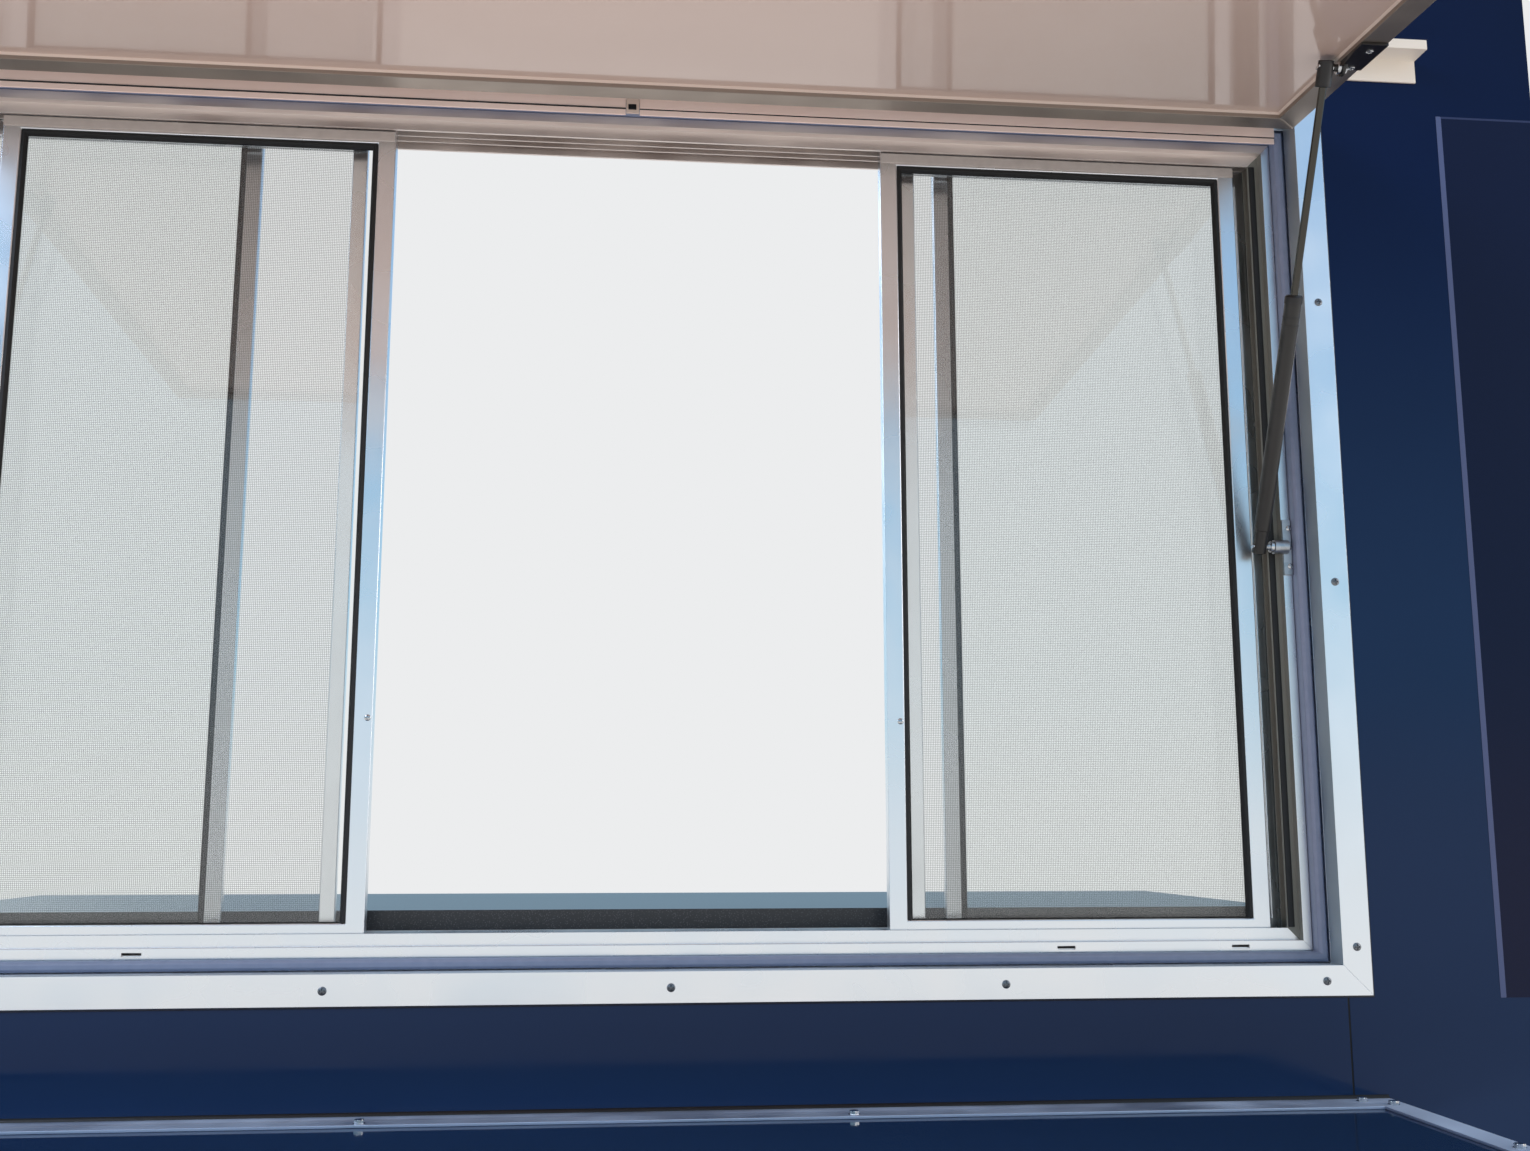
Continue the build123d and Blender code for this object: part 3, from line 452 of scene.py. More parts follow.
# where the gas struts' eyes stand at rest, foot and head, before they are moved to either side
strutLow, strutHigh = np.array([0, -2.0, 1319.0]), np.array([0, -227.7, 1789.8])
strutLine = (strutHigh - strutLow) / np.linalg.norm(strutHigh - strutLow)
facings = {
    # the columns are where a piece's own X, Y and Z point
    "street": np.array([[1, 0, 0], [0, 0, -1], [0, 1, 0]], float),
    "inside": np.array([[-1, 0, 0], [0, 0, 1], [0, 1, 0]], float),
    "up": np.eye(3),
    "left": np.array([[0, 0, -1], [-1, 0, 0], [0, 1, 0]], float),
    "right": np.array([[0, 0, 1], [1, 0, 0], [0, 1, 0]], float),
    "strut": np.stack([[1, 0, 0], np.cross(strutLine, [1, 0, 0]), strutLine], axis=1),
}


def placed(shape, spots, facing):
    # one shape set at many spots at once: every point turned by the facing, then moved by each
    points, quads = shape
    spots = np.asarray(spots, float).reshape(-1, 1, 3)
    copies = points @ facings[facing].T + spots
    steps = np.arange(len(spots))[:, None, None] * len(points)
    return copies.reshape(-1, 3), (quads + steps).reshape(-1, 4)


def joined(*shapes):
    starts = np.cumsum([0] + [len(points) for points, quads in shapes])
    return (np.concatenate([points for points, quads in shapes]),
            np.concatenate([quads + start for (points, quads), start in zip(shapes, starts)]))


hatch = dict(hinge=(0, -47.0, 1836.0), openDegrees=86.8, half=775, low=862, high=1832, rail=28,
             face=-43, back=-18)


def opened(shape):
    # a shape laid out on the shut hatch, turned about the hinge line by the angle a at which it
    # rests: y = hinge + dy cos a + dz sin a, and z = hinge - dy sin a + dz cos a
    points, quads = shape
    x, dy, dz = (points - hatch["hinge"]).T
    a = math.radians(hatch["openDegrees"])
    c, s = math.cos(a), math.sin(a)
    return np.stack([x, dy * c + dz * s, dz * c - dy * s], axis=1) + hatch["hinge"], quads


def spotsAt(xs, y, zs):
    # a spot at each x and each z, at that depth
    return [(x, y, z) for x in np.atleast_1d(xs) for z in np.atleast_1d(zs)]


def fasten(name, head, spots, facing, body, material=stainlessSteel):
    # one kind of head at many spots; those on the hatch are laid out shut and opened with it
    shape = placed(head, spots, facing)
    meshFrom(name, opened(shape) if body == "hatch" else shape, material, body)


def softened(node, name, material, edge):
    # a merged copy of a CAD node with its edges rounded, which stands for that node
    mesh = frame["nodes"][node].data.copy()
    mesh.name = name
    shell = bmesh.new()
    shell.from_mesh(mesh)
    bmesh.ops.remove_doubles(shell, verts=shell.verts, dist=rounding["merge"] * mm)
    bmesh.ops.dissolve_limit(shell, angle_limit=math.radians(rounding["coplanar"]),
                             verts=shell.verts, edges=shell.edges)
    shell.to_mesh(mesh)
    shell.free()
    mesh.materials.clear()
    mesh.materials.append(material)
    mesh.polygons.foreach_set("material_index", np.zeros(len(mesh.polygons), np.int32))
    mesh.shade_smooth()
    piece = bpy.data.objects.new(name, mesh)
    bpy.context.scene.collection.objects.link(piece)
    bevel = piece.modifiers.new("edges", "BEVEL")
    bevel.width = edge * mm
    bevel.segments = rounding["segments"]
    bevel.limit_method = "ANGLE"
    bevel.angle_limit = math.radians(rounding["sharp"])
    flatFirst(piece, rounding["favour"])
    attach(piece, bodyOf[node])
    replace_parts(piece, node)
    return piece


def faceArrays(mesh, *names):
    arrays = [np.empty(len(mesh.polygons) * 3, np.float32) for _ in names]
    for name, values in zip(names, arrays):
        mesh.polygons.foreach_get(name, values)
    return [values.reshape(-1, 3) for values in arrays]


def grainByMember(piece, material, reach):
    # on a ring, faces within reach of its left or right edge get the material whose lines run
    # the other way; a ring less than 200 mm high lies flat, and is measured along Y and not Z
    mesh = piece.data
    mesh.materials.append(material)
    centres, = faceArrays(mesh, "center")
    low, high = (np.array(corner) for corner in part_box(piece["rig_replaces"][0]))
    up = 1 if high[2] - low[2] < 200 * mm else 2
    side, end = (np.minimum(centres[:, k] - low[k], high[k] - centres[:, k]) for k in (0, up))
    beside = (side < end) & (side < reach * mm)
    mesh.polygons.foreach_set("material_index", beside.astype(np.int32))


def shadeInside(piece, material, behind):
    # on a trim angle, a jamb or the sill, the faces that don't look to the street get the material
    # with painted shade (on the sill, painted pink reflection), and so do those whose middle lies
    # behind that depth
    mesh = piece.data
    mesh.materials.append(material)
    normals, centres = faceArrays(mesh, "normal", "center")
    inside = (np.abs(normals[:, 1]) < 0.5) | (centres[:, 1] > behind * mm)
    mesh.polygons.foreach_set("material_index", inside.astype(np.int32))


scene = bpy.context.scene
view = dict(place=(-0.008, -1.683, 1.0), up=9.29, right=5.74, lens=36.49, sensor=36, farthest=60)
camera = bpy.data.objects.new("camera", bpy.data.cameras.new("camera"))
camera.data.sensor_width = view["sensor"]
camera.data.lens = view["lens"]
camera.data.clip_end = view["farthest"]
camera.location = view["place"]
camera.rotation_euler = (math.radians(90 + view["up"]), 0, math.radians(-view["right"]))
scene.collection.objects.link(camera)
scene.camera = camera
scene.view_settings.view_transform = "Standard"

# The lamp under the hatch isn't mirrored: it would show as a disc in the navy.
studio = dict(
    # name: place, turned towards, size, watts, tint, mirrored by metal and paint
    keyLeft=((-3.4, -2.6, 4.2), (0, 0, 1.2), 2.2, 84, "#e4edff", True),
    fillRight=((4.4, -2.2, 2.4), (0, 0, 1.0), 2.2, 44, "#ffefe4", True),
    underHatch=((-0.35, -1.2, 0.4), (-0.2, -0.5, 1.8), 0.6, 11, "#ffd8c4", False),
    backLeft=((-2.4, 3.0, 3.0), (0, 0, 1.0), 2.4, 46, "#ffffff", True),
)
for name, (spot, target, size, watts, tint, inMirrors) in studio.items():
    lamp = bpy.data.lights.new(name, "AREA")
    lamp.shape = "DISK"
    lamp.size = size
    lamp.energy = watts
    lamp.color = toLinear(tint)[:3]
    holder = bpy.data.objects.new(name, lamp)
    holder.location = spot
    holder.visible_camera = False
    holder.visible_glossy = inMirrors
    holder.visible_transmission = False
    aim = np.array(target) - np.array(spot)
    tilt = math.atan2(math.hypot(aim[0], aim[1]), -aim[2])
    holder.rotation_euler = (tilt, 0, math.atan2(aim[1], aim[0]) - math.pi / 2)
    scene.collection.objects.link(holder)

# The room is one plain pale colour. What metal and paint mirror of it is white at the horizon
# and bluer upwards: each stop is the sine of its height over the horizon, and its colour.
sky = dict(plain="#ecedee", low=-0.2, high=0.8, lightOnObject=0.6, stops=(
    (-0.02, "#faf9f7"), (0.02, "#eef6f9"), (0.09, "#b4e2f8"), (0.34, "#a4cdf5"),
    (0.75, "#c6d8ec")))
# The floor keeps the shadow near the object and fades to the plain room further out.
ground = dict(half=14, near=1.0, far=2.8, colour="#eeedeb", roughness=0.7)


def rayMask(tree, *steps):
    # light path outputs taken in turn: the first, then each next one by its operation
    rays = addNode(tree, "LightPath").outputs
    mask = rays[steps[0]]
    for operation, name in steps[1:]:
        mask = addNode(tree, "Math", {0: mask, 1: rays[name]}, operation=operation,
                       use_clamp=True)
    return mask


def seenDirectly(tree):
    # 1 for a ray from the camera, off metal or through glass, else 0
    return rayMask(tree, "Is Camera Ray", ("MAXIMUM", "Is Glossy Ray"),
                   ("MAXIMUM", "Is Transmission Ray"))


def mirrored(tree):
    # 1 for a ray off metal or paint; clear glass counts the rays that go straight through it as
    # glossy too, so those come off
    return rayMask(tree, "Is Glossy Ray", ("SUBTRACT", "Is Transmission Ray"))


world = bpy.data.worlds.new("paleRoom")
world.use_nodes = True
scene.world = world
tree = world.node_tree
tree.nodes.clear()
rise = addNode(tree, "SeparateXYZ", {0: addNode(tree, "TexCoord").outputs["Generated"]})
share = rescaled(tree, rise.outputs["Z"], 0.0, 1.0, sky["low"], sky["high"])
ramp = addNode(tree, "ValToRGB", {0: share})
stops = ramp.color_ramp.elements
while len(stops) < len(sky["stops"]):
    stops.new(0.5)
for stop, (sine, code) in zip(stops, sky["stops"]):
    stop.position = (sine - sky["low"]) / (sky["high"] - sky["low"])
    stop.color = toLinear(code)
strength = rescaled(tree, seenDirectly(tree), sky["lightOnObject"], 1.0)
pale = addNode(tree, "Background", {"Color": colours(tree, mirrored(tree), sky["plain"], ramp),
                                    "Strength": strength})
addNode(tree, "OutputWorld", {"Surface": pale})

floorMaterial, tree, place = newMaterial("paleFloor")
plain = addNode(tree, "BsdfPrincipled", {"Base Color": toLinear(ground["colour"]),
                                         "Roughness": ground["roughness"]})
outward = addNode(tree, "VectorMath", {0: place}, operation="LENGTH")
fade = rescaled(tree, outward, 0.0, 1.0, ground["near"], ground["far"],
                interpolation_type="SMOOTHSTEP")
share = addNode(tree, "Math", {0: fade, 1: seenDirectly(tree)}, operation="MULTIPLY")
warmth = colours(tree, mirrored(tree), sky["plain"], sky["stops"][0][1])
glow = addNode(tree, "Emission", {"Color": warmth})
blend = addNode(tree, "MixShader", {0: share, 1: plain, 2: glow})
addNode(tree, "OutputMaterial", {"Surface": blend})
h = ground["half"]
floorMesh = bpy.data.meshes.new("floor")
floorMesh.from_pydata([(-h, -h, 0), (h, -h, 0), (h, h, 0), (-h, h, 0)], [], [(0, 1, 2, 3)])
floorMesh.materials.append(floorMaterial)
floor = bpy.data.objects.new("floor", floorMesh)
scene.collection.objects.link(floor)
print("camera and studio set")

solids = [
    # CAD node, piece, material, rounded edge in mm; a row with * is one for left, one for right
    ("outer_skin_*", "skin*", glossEnamelNavy, 0.3),
    ("outer_skin_below", "skinBelow", glossEnamelNavy, 0.3),
    ("outer_skin_above", "skinAbove", glossEnamelNavy, 0.3),
    ("hatch_outer_skin", "hatchPaintedSkin", glossEnamelNavy, 0.3),
    ("shelf_top", "shelfSheet", glossEnamelNavy, 0.3),
    ("trim_top", "trimTop", millAluminiumX, 0.35),
    ("trim_bottom", "trimBottom", millAluminiumX, 0.35),
    ("trim_*", "trim*", millAluminiumZ, 0.35),
    ("window_head", "windowHead", satinPinkLitAluminiumX, 0.35),
    ("head_strips", "headStrips", pinkLitBakedWhite, 0.4),
    ("shelf_rail", "shelfRail", shelfSkyLitAluminiumX, 0.8),
    ("window_sill", "windowSill", millAluminiumX, 0.35),
    ("floor_rail", "floorRail", millAluminiumX, 0.35),
    ("roof_rail", "roofRail", millAluminiumX, 0.35),
    ("hinge_frame_leaf", "hingeFrameLeaf", millAluminiumX, 0.35),
    ("hinge_hatch_leaf", "hingeHatchLeaf", millAluminiumX, 0.35),
    ("shelf_rail_leaf", "shelfHingeRailLeaf", millAluminiumX, 0.35),
    ("shelf_leaf", "shelfHingeLeaf", millAluminiumX, 0.35),
    ("window_jamb_*", "windowJamb*", millAluminiumZ, 0.35),
    ("slider_*_frame", "slider*Sash", millAluminiumX, 0.5),
    ("screen_*_frame", "screen*Sash", millAluminiumX, 0.5),
    ("fixed_*_frame", "fixed*Sash", millAluminiumX, 0.5),
    ("opening_liner", "openingLiner", millAluminiumX, 0.5),
    ("inner_casing", "insideCasing", millAluminiumX, 0.5),
    ("shelf_rim", "shelfRim", shelfSkyLitAluminiumX, 0.6),
    ("hatch_frame", "hatchChannel", shadedBrownAluminiumX, 0.5),
    ("inner_lining", "insideLining", pebbledWallBoard, 0.3),
    ("hatch_inner_skin", "hatchLining", glossCoatedSheet, 0.4),
    ("rain_gutter", "rainGutter", powderCoatWhite, 0.6),
    ("wall_core", "wallCore", closedCellFoam, 0.5),
    ("end_posts", "endPosts", zincPlatedSteel, 0.4),
    ("hatch_seal", "hatchSeal", slateBulbRubber, 0.8),
    ("slider_*_glass", "slider*Pane", floatGlass, 0.3),
    ("fixed_*_glass", "fixed*Pane", floatGlass, 0.3),
    ("strut_*_cylinder", "strut*Tube", blackPaintedSteel, 0.8),
    ("strut_*_rod", "strut*Rod", nitridedSteelRod, 0.3),
    ("strut_*_eye", "strut*Socket", glassFilledNylon, 0.8),
    ("strut_anchors", "strutFootBrackets", zincPlatedSteel, 0.4),
    ("hatch_strut_brackets", "strutHatchBrackets", blackPaintedSteel, 0.5),
    ("shelf_link_*", "shelfLink*", zincPlatedSteel, 0.6),
    ("shelf_lugs", "shelfLugs", zincPlatedSteel, 0.5),
    ("shelf_channels", "shelfChannels", zincPlatedSteel, 0.4),
    ("counter_brackets", "counterBrackets", zincPlatedSteel, 0.6),
    ("inner_counter", "counterTop", highPressureLaminate, 0.8),
    ("screen_*_mesh", "screen*Net", wovenInsectScreen, 0.1),
]
members = {
    # CAD node: material of the members that run the other way, and their width in mm
    "slider_*_frame": (millAluminiumZ, 22), "screen_*_frame": (millAluminiumZ, 18),
    "fixed_*_frame": (millAluminiumZ, 19), "opening_liner": (millAluminiumZ, 6),
    "inner_casing": (millAluminiumZ, 36), "shelf_rim": (shelfShadedAluminiumY, 30),
    "hatch_frame": (shadedBrownAluminiumZ, 30)}
paintedShadeInsides = {
    # CAD node: material with painted shade (on the sill, painted reflection), and the depth in mm
    # behind which every face has it (1000: none)
    "trim_top": (satinShadedAluminiumZ, 1000), "trim_bottom": (satinShadedAluminiumZ, 1000),
    "trim_*": (satinShadedAluminiumZ, 1000), "window_sill": (satinPinkLitAluminiumX, 1000),
    "window_jamb_*": (jambShadeAluminiumZ, 8)}
for node, name, material, edge in solids:
    for side in ("left", "right") if "*" in node else ("",):
        piece = softened(node.replace("*", side), name.replace("*", side.title()), material, edge)
        if node in members:
            grainByMember(piece, *members[node])
        if node in paintedShadeInsides:
            shadeInside(piece, *paintedShadeInsides[node])
print("CAD solids softened")

# Every screw's head is (radius, height, reach of its cross) in mm, and every rivet's or bolt's
# is (radius, height).
trimScrews = dict(head=(4.4, 1.6, 3.0), face=-43, bottomX=(-762, -290, 60, 411, 762),
                  bottomZ=839.5, sidesX=(-797.5, 797.5), sidesZ=(875, 1273, 1599))
spots = spotsAt(trimScrews["bottomX"], trimScrews["face"], trimScrews["bottomZ"])
spots += spotsAt(trimScrews["sidesX"], trimScrews["face"], trimScrews["sidesZ"])
fasten("trimScrews", screwHead(*trimScrews["head"]), spots, "street", "wall",
       weatheredStainless)

hingeScrews = dict(head=(3.6, 1.2, 2.4), x=np.linspace(-735, 735, 12), face=-44.5,
                   frameZ=1851, hatchZ=1821)
for name, z, body in (("hingeFrameScrews", hingeScrews["frameZ"], "wall"),
                      ("hingeHatchScrews", hingeScrews["hatchZ"], "hatch")):
    fasten(name, screwHead(*hingeScrews["head"]),
           spotsAt(hingeScrews["x"], hingeScrews["face"], z), "street", body)

gutterScrews = dict(head=(4.2, 2, 3), spots=spotsAt(np.linspace(-900, 900, 7), -43, 1914.5))
fasten("gutterScrews", screwHead(*gutterScrews["head"]), gutterScrews["spots"], "street", "wall",
       powderCoatWhite)

stileScrews = dict(head=(3.4, 1.6, 2.2), face=17, z=1118, left=-265.5, right=314)
for side in ("left", "right"):
    fasten(f"slider{side.title()}Screw", screwHead(*stileScrews["head"]),
           [(stileScrews[side], stileScrews["face"], stileScrews["z"])], "street",
           f"slider_{side}")

footScrews = dict(head=(3.2, 1.8, 2.0), spots=spotsAt((-765.5, 765.5), -2, (1297, 1319, 1341)))
fasten("strutFootScrews", screwHead(*footScrews["head"]), footScrews["spots"], "street", "wall")
print("screws set")

# Gas struts: ball studs in the sockets, with a nut on the hatch's, a wiper cap over the tube's
# open end, two crimps behind it, and a spring clip across the back of each socket
strut = dict(
    x=730, socket=8, tubeEnd=282, wiperStart=276, crimpsBack=(22, 31), clipGap=0.4,
    stud=((0, -1), (3.2, -1), (3.2, 1.6), (2.4, 2.0), (2.4, 3.4), (5.8, 3.8), (6.4, 4.4),
          (6.4, 7.4), (5.8, 8), (0, 8)),
    nut=((0, 10.8), (5.6, 10.8), (5.6, 14.2), (5.0, 14.9), (2.6, 14.9), (2.4, 16.2), (0, 16.4)),
    wiper=((4.3, 0), (9.6, 0), (9.6, 7), (8.0, 9), (4.3, 9), (4.3, 0)),
    crimp=((8.6, 0), (9.25, 0.8), (9.25, 2.4), (8.6, 3.2), (8.6, 0)),
    clip=(9, 3.2, 1.2, 1.5, 0.3))
stud, nut = turned(strut["stud"]), turned(strut["nut"], 36, hexRows=(1, 2, 3))
wiper, crimp = turned(strut["wiper"], 40), turned(strut["crimp"], 40)
for end, side, back in ((-1, "left", "right"), (1, "right", "left")):
    label = f"strut{side.title()}"
    middle = np.array([end * strut["x"], 0, 0])
    outer = middle + [end * strut["socket"], 0, 0]
    inner = middle - [end * (strut["socket"] - strut["clipGap"]), 0, 0]
    meshFrom(label + "FootStud", placed(stud, [strutLow + outer], side), stainlessSteel,
             "wall")
    meshFrom(label + "HeadStud", placed(joined(stud, nut), [strutHigh + outer], side),
             stainlessSteel, "hatch")
    rungs = [strutLow + strutLine * (strut["tubeEnd"] - far) + middle
             for far in strut["crimpsBack"]]
    mouth = strutLow + strutLine * strut["wiperStart"] + middle
    fasten(label + "Wiper", wiper, [mouth], "strut", f"strut_{side}_cylinder",
           glassFilledNylon)
    fasten(label + "Crimps", crimp, rungs, "strut", f"strut_{side}_cylinder",
           blackPaintedSteel)
    for part, spot, body in (("Foot", strutLow, "cylinder"), ("Head", strutHigh, "rod")):
        fasten(f"{label}{part}Clip", roundedPlate(*strut["clip"]), [spot + inner], back,
               f"strut_{side}_{body}")
bracketScrews = dict(head=(3.8, 1.7, 2.6), spots=spotsAt((-762, 762), -15, (1660, 1620)))
fasten("hatchBracketScrews", screwHead(*bracketScrews["head"]), bracketScrews["spots"], "inside",
       "hatch")
print("struts dressed")

# The hatch, laid out shut: rivets down both sides and along the foot, sealant round its two
# skins, welds across its corners and two turn handles
rivets = dict(size=(2.6, 1.1), inset=14, pitch=108, topGap=40)
reach, foot = hatch["half"] - rivets["inset"], hatch["low"] + rivets["inset"]
top = hatch["high"] - rivets["topGap"]
x = np.linspace(-reach, reach, round(2 * hatch["half"] / rivets["pitch"]) + 1)
z = np.linspace(foot, top, round((top - hatch["low"]) / rivets["pitch"]) + 1)
spots = spotsAt(x, hatch["face"], foot) + spotsAt((-reach, reach), hatch["face"], z[1:])
fasten("hatchRivets", rivetHead(*rivets["size"]), spots, "street", "hatch")

skinEdge = (hatch["rail"] - hatch["half"], hatch["half"] - hatch["rail"],
            hatch["low"] + hatch["rail"], hatch["high"] - hatch["rail"])
skinBeads = dict(
    # piece: (inset, y) profile, material
    hatchSkinSealant=([(-0.4, -42.5), (0.0, -42.9), (1.6, -42.1), (1.8, -41.8), (-0.4, -41.8)],
                      siliconeBlack),
    hatchLiningSealant=([(-0.3, -23.0), (0.1, -22.6), (1.0, -23.6), (2.2, -24.8), (2.3, -25.3),
                         (-0.3, -25.3)], siliconeBeige))
for name, (profile, material) in skinBeads.items():
    meshFrom(name, opened(roundRectangle(profile, *skinEdge)), material, "hatch")

weld = dict(width=5.0, height=0.9, ripple=0.16, pitch=1.6, steps=120, inset=1.2)


def weldBead(start, end):
    # a bead on a face that looks along Y: at s along it and t round it, a point stands
    # width/2 cos(t) to the side and height sin(t) (1 + ripple sin(2 pi s / pitch)) out,
    # both drawn in towards the ends by the root of 1 - (2s/length - 1)^10
    start, end = np.array(start, float), np.array(end, float)
    length = np.linalg.norm(end - start)
    s = np.linspace(0, 1, weld["steps"])
    t = np.linspace(0, 2 * np.pi, 10, endpoint=False)
    taper = np.sqrt(np.clip(1 - (2 * s - 1) ** 10, 0, 1))
    swell = 1 + weld["ripple"] * np.sin(2 * np.pi * s * length / weld["pitch"])
    side = np.cross((end - start) / length, [0, 1, 0])
    across = (taper[:, None] * np.cos(t) * weld["width"] / 2)[..., None] * side
    rise = ((taper * swell)[:, None] * np.sin(t) * weld["height"])[..., None] * [0, 1, 0]
    points = (start + s[:, None] * (end - start))[:, None, :] + across + rise
    return points.reshape(-1, 3), gridQuads(len(s), len(t))


welds = []
for side in (-1, 1):
    for corner, step in ((hatch["low"], 1), (hatch["high"], -1)):
        near, far = weld["inset"], hatch["rail"] - weld["inset"]
        welds.append(weldBead(
            (side * (hatch["half"] - near), hatch["back"], corner + step * near),
            (side * (hatch["half"] - far), hatch["back"], corner + step * far)))
meshFrom("hatchCornerWelds", opened(joined(*welds)), shadedBrownAluminiumX, "hatch")

latch = dict(x=560, z=917, lift=12, handle=(90, 14, 10, 6.8, 2.4, 8),
             plate=((0, -0.2), (26, -0.2), (26, 1.2), (24.8, 2), (14, 2), (12.6, 3.4), (9, 4.2),
                    (9, 12), (0, 12)),
             barrel=((0, 9.8), (4.6, 9.8), (4.6, 10.5), (3.8, 10.9), (0, 10.9)))
spots = np.array([(side * latch["x"], hatch["face"], latch["z"]) for side in (-1, 1)], float)
handleSpots = spots - [0, latch["lift"], 0]
latches = meshFrom("hatchLatches", opened(joined(
    placed(turned(latch["plate"], 48), spots, "street"),
    placed(roundedPlate(*latch["handle"]), handleSpots, "street"),
    placed(turned(latch["barrel"]), handleSpots, "street"))), stainlessSteel, "hatch")
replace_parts(latches, "hatch_latches")
print("hatch dressed")

# The gasket stands a little off the sash's recess; along the bottom it sits lower, so only its
# edge shows there.
gasket = dict(width=6.5, bottomWidth=1.5, proud=0.9, recess=1.2, shoulder=3, tuck=-0.3,
              bottomRail=30, topRail=25, stile=dict(slider=20, fixed=18))
for kind, stile in gasket["stile"].items():
    for side in ("left", "right"):
        low, high = np.array(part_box(f"{kind}_{side}_frame")) / mm
        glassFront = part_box(f"{kind}_{side}_glass")[0][1] / mm
        w, front = gasket["width"], low[1] + gasket["recess"]
        rim = [(gasket["tuck"], front), (w * 0.5, front - gasket["proud"]),
               (w * 0.9, low[1] + gasket["shoulder"]), (w, glassFront),
               (gasket["tuck"], glassFront)]
        sink = w - gasket["bottomWidth"]
        meshFrom(f"{kind}{side.title()}Gasket", roundRectangle(
            rim, low[0] + stile, high[0] - stile, low[2] + gasket["bottomRail"] - sink,
            high[2] - gasket["topRail"]), epdmRubber,
            f"slider_{side}" if kind == "slider" else "wall")

headPile = dict(left=(-689, -261), right=(300, 728), profile=(
    (17.2, 1773.5), (15.5, 1774.5), (15.0, 1780.0), (15.5, 1785.0), (17.2, 1786.0)))
for side in ("left", "right"):
    meshFrom(f"slider{side.title()}HeadPile", alongX(headPile["profile"], *headPile[side]),
             woolPileGrey, f"slider_{side}")
jambPile = dict(span=(893, 1785), profile=(
    (11.1, 745.8), (9.9, 746.2), (9.4, 748), (9.4, 751), (9.9, 752.8), (11.1, 753.2)))
for name, side in (("jambPileLeft", -1), ("jambPileRight", 1)):
    meshFrom(name, upright(np.array(jambPile["profile"]) * [1, side], *jambPile["span"]),
             epdmRubber, "wall")


def runs(table):
    # every piece of a table of (y, z) profiles, each carried along its spans of X
    for name, (spans, material, slot, profile) in table.items():
        meshFrom(name, joined(*[alongX(profile, *span) for span in spans]), material, "wall")


# Each cover strip has a turned lip that hangs in front of the seal's head, with a bead of
# sealant on its shoulder; the seam between the strips is filled, and a black plug in it is
# painted shade in the gap.
lengths = [(-768, 0), (16, 768)]
shoulder = dict(y=-15.9, z=1811.2, radius=0.9)
turn = np.linspace(0, 2 * np.pi, 8, endpoint=False)
runs(dict(
    headStripLips=(lengths, pinkLitBakedWhite, "mill_aluminium", [
        (-15.6, 1812.0), (-15.6, 1804.6), (-15.1, 1803.8), (-14.4, 1803.8), (-13.9, 1804.6),
        (-13.9, 1812.0)]),
    headStripSealant=(lengths, siliconeBlack, "seal_rubber", np.column_stack([
        shoulder["y"] + shoulder["radius"] * np.cos(turn),
        shoulder["z"] + shoulder["radius"] * np.sin(turn)])),
    headStripSeam=([(0.5, 15.5)], siliconeBeige, "seal_rubber", [
        (-14.0, 1806.0), (-14.9, 1807.0), (-15.2, 1816.0), (-14.9, 1825.0), (-14.0, 1826.0)]),
    # the black plug is painted shade in the seam's gap
    headStripSeamShade=([(3, 12)], siliconeBlack, "seal_rubber", [
        (-15.0, 1810.5), (-15.9, 1811.5), (-15.9, 1816.5), (-15.0, 1817.5)])))
print("gaskets, pile strips and lips laid")

# Sealant on the wall: the skins' seams, round the trim, over the gutter and behind the shelf
seam = dict(x=786, half=1.1, back=-37.2, crown=-39.6, middle=-39.0, span=(5, 2045))
for name, side in (("seamSealantLeft", -1), ("seamSealantRight", 1)):
    x, half = side * seam["x"], seam["half"]
    profile = [(seam["back"], x - half), (seam["crown"], x - half), (seam["middle"], x),
               (seam["crown"], x + half), (seam["back"], x + half)]
    meshFrom(name, upright(profile, *seam["span"]), siliconeBlack, "wall")
trimEdge = (-813, 813, 824, 1870)  # left, right, low and high
trimBead = [(0.3, -42.2), (-0.4, -42.0), (-1.5, -41.0), (-2.2, -40.2), (-2.2, -39.8),
            (0.3, -39.8)]
meshFrom("trimSealant", roundRectangle(trimBead, *trimEdge), siliconeGrey, "wall")
runs(dict(
    gutterSealant=([(-934, 934)], siliconeGrey, "seal_rubber", [
        (-39.8, 1921.8), (-42.6, 1921.8), (-42.2, 1923.2), (-41.0, 1924.6), (-39.8, 1925.2)]),
    shelfRailSealant=([(-824, 824)], siliconeBlack, "seal_rubber", [
        (-39.8, 717.4), (-43.0, 717.8), (-42.6, 719.2), (-41.2, 720.8), (-39.8, 721.6)])))
print("sealant laid")

# A bare panel of vinyl film with a pale margin down its left edge and a dim one along its top
film = dict(left=958, right=1079, low=820, high=1836, margin=6.5, topMargin=2.5, thick=0.25,
            marginThick=0.35, face=-40, corner=1.0, edge=0.05)
innerLeft, innerHigh = film["left"] + film["margin"], film["high"] - film["topMargin"]
sheets = dict(
    # piece: left, right, low, high, thickness, material
    filmPanel=(film["left"], film["right"], film["low"], film["high"], film["thick"],
               castVinylNavy),
    filmMargin=(film["left"], innerLeft, film["low"], film["high"], film["marginThick"],
                castVinylPale),
    filmTopMargin=(innerLeft, film["right"], innerHigh, film["high"], film["marginThick"],
                   castVinylDim))
for name, (x0, x1, z0, z1, thick, material) in sheets.items():
    sheet = roundedPlate(x1 - x0, z1 - z0, thick, film["corner"], film["edge"], 4)
    fasten(name, sheet, [((x0 + x1) / 2, film["face"], (z0 + z1) / 2)], "street", "wall",
           material)
print("film laid")

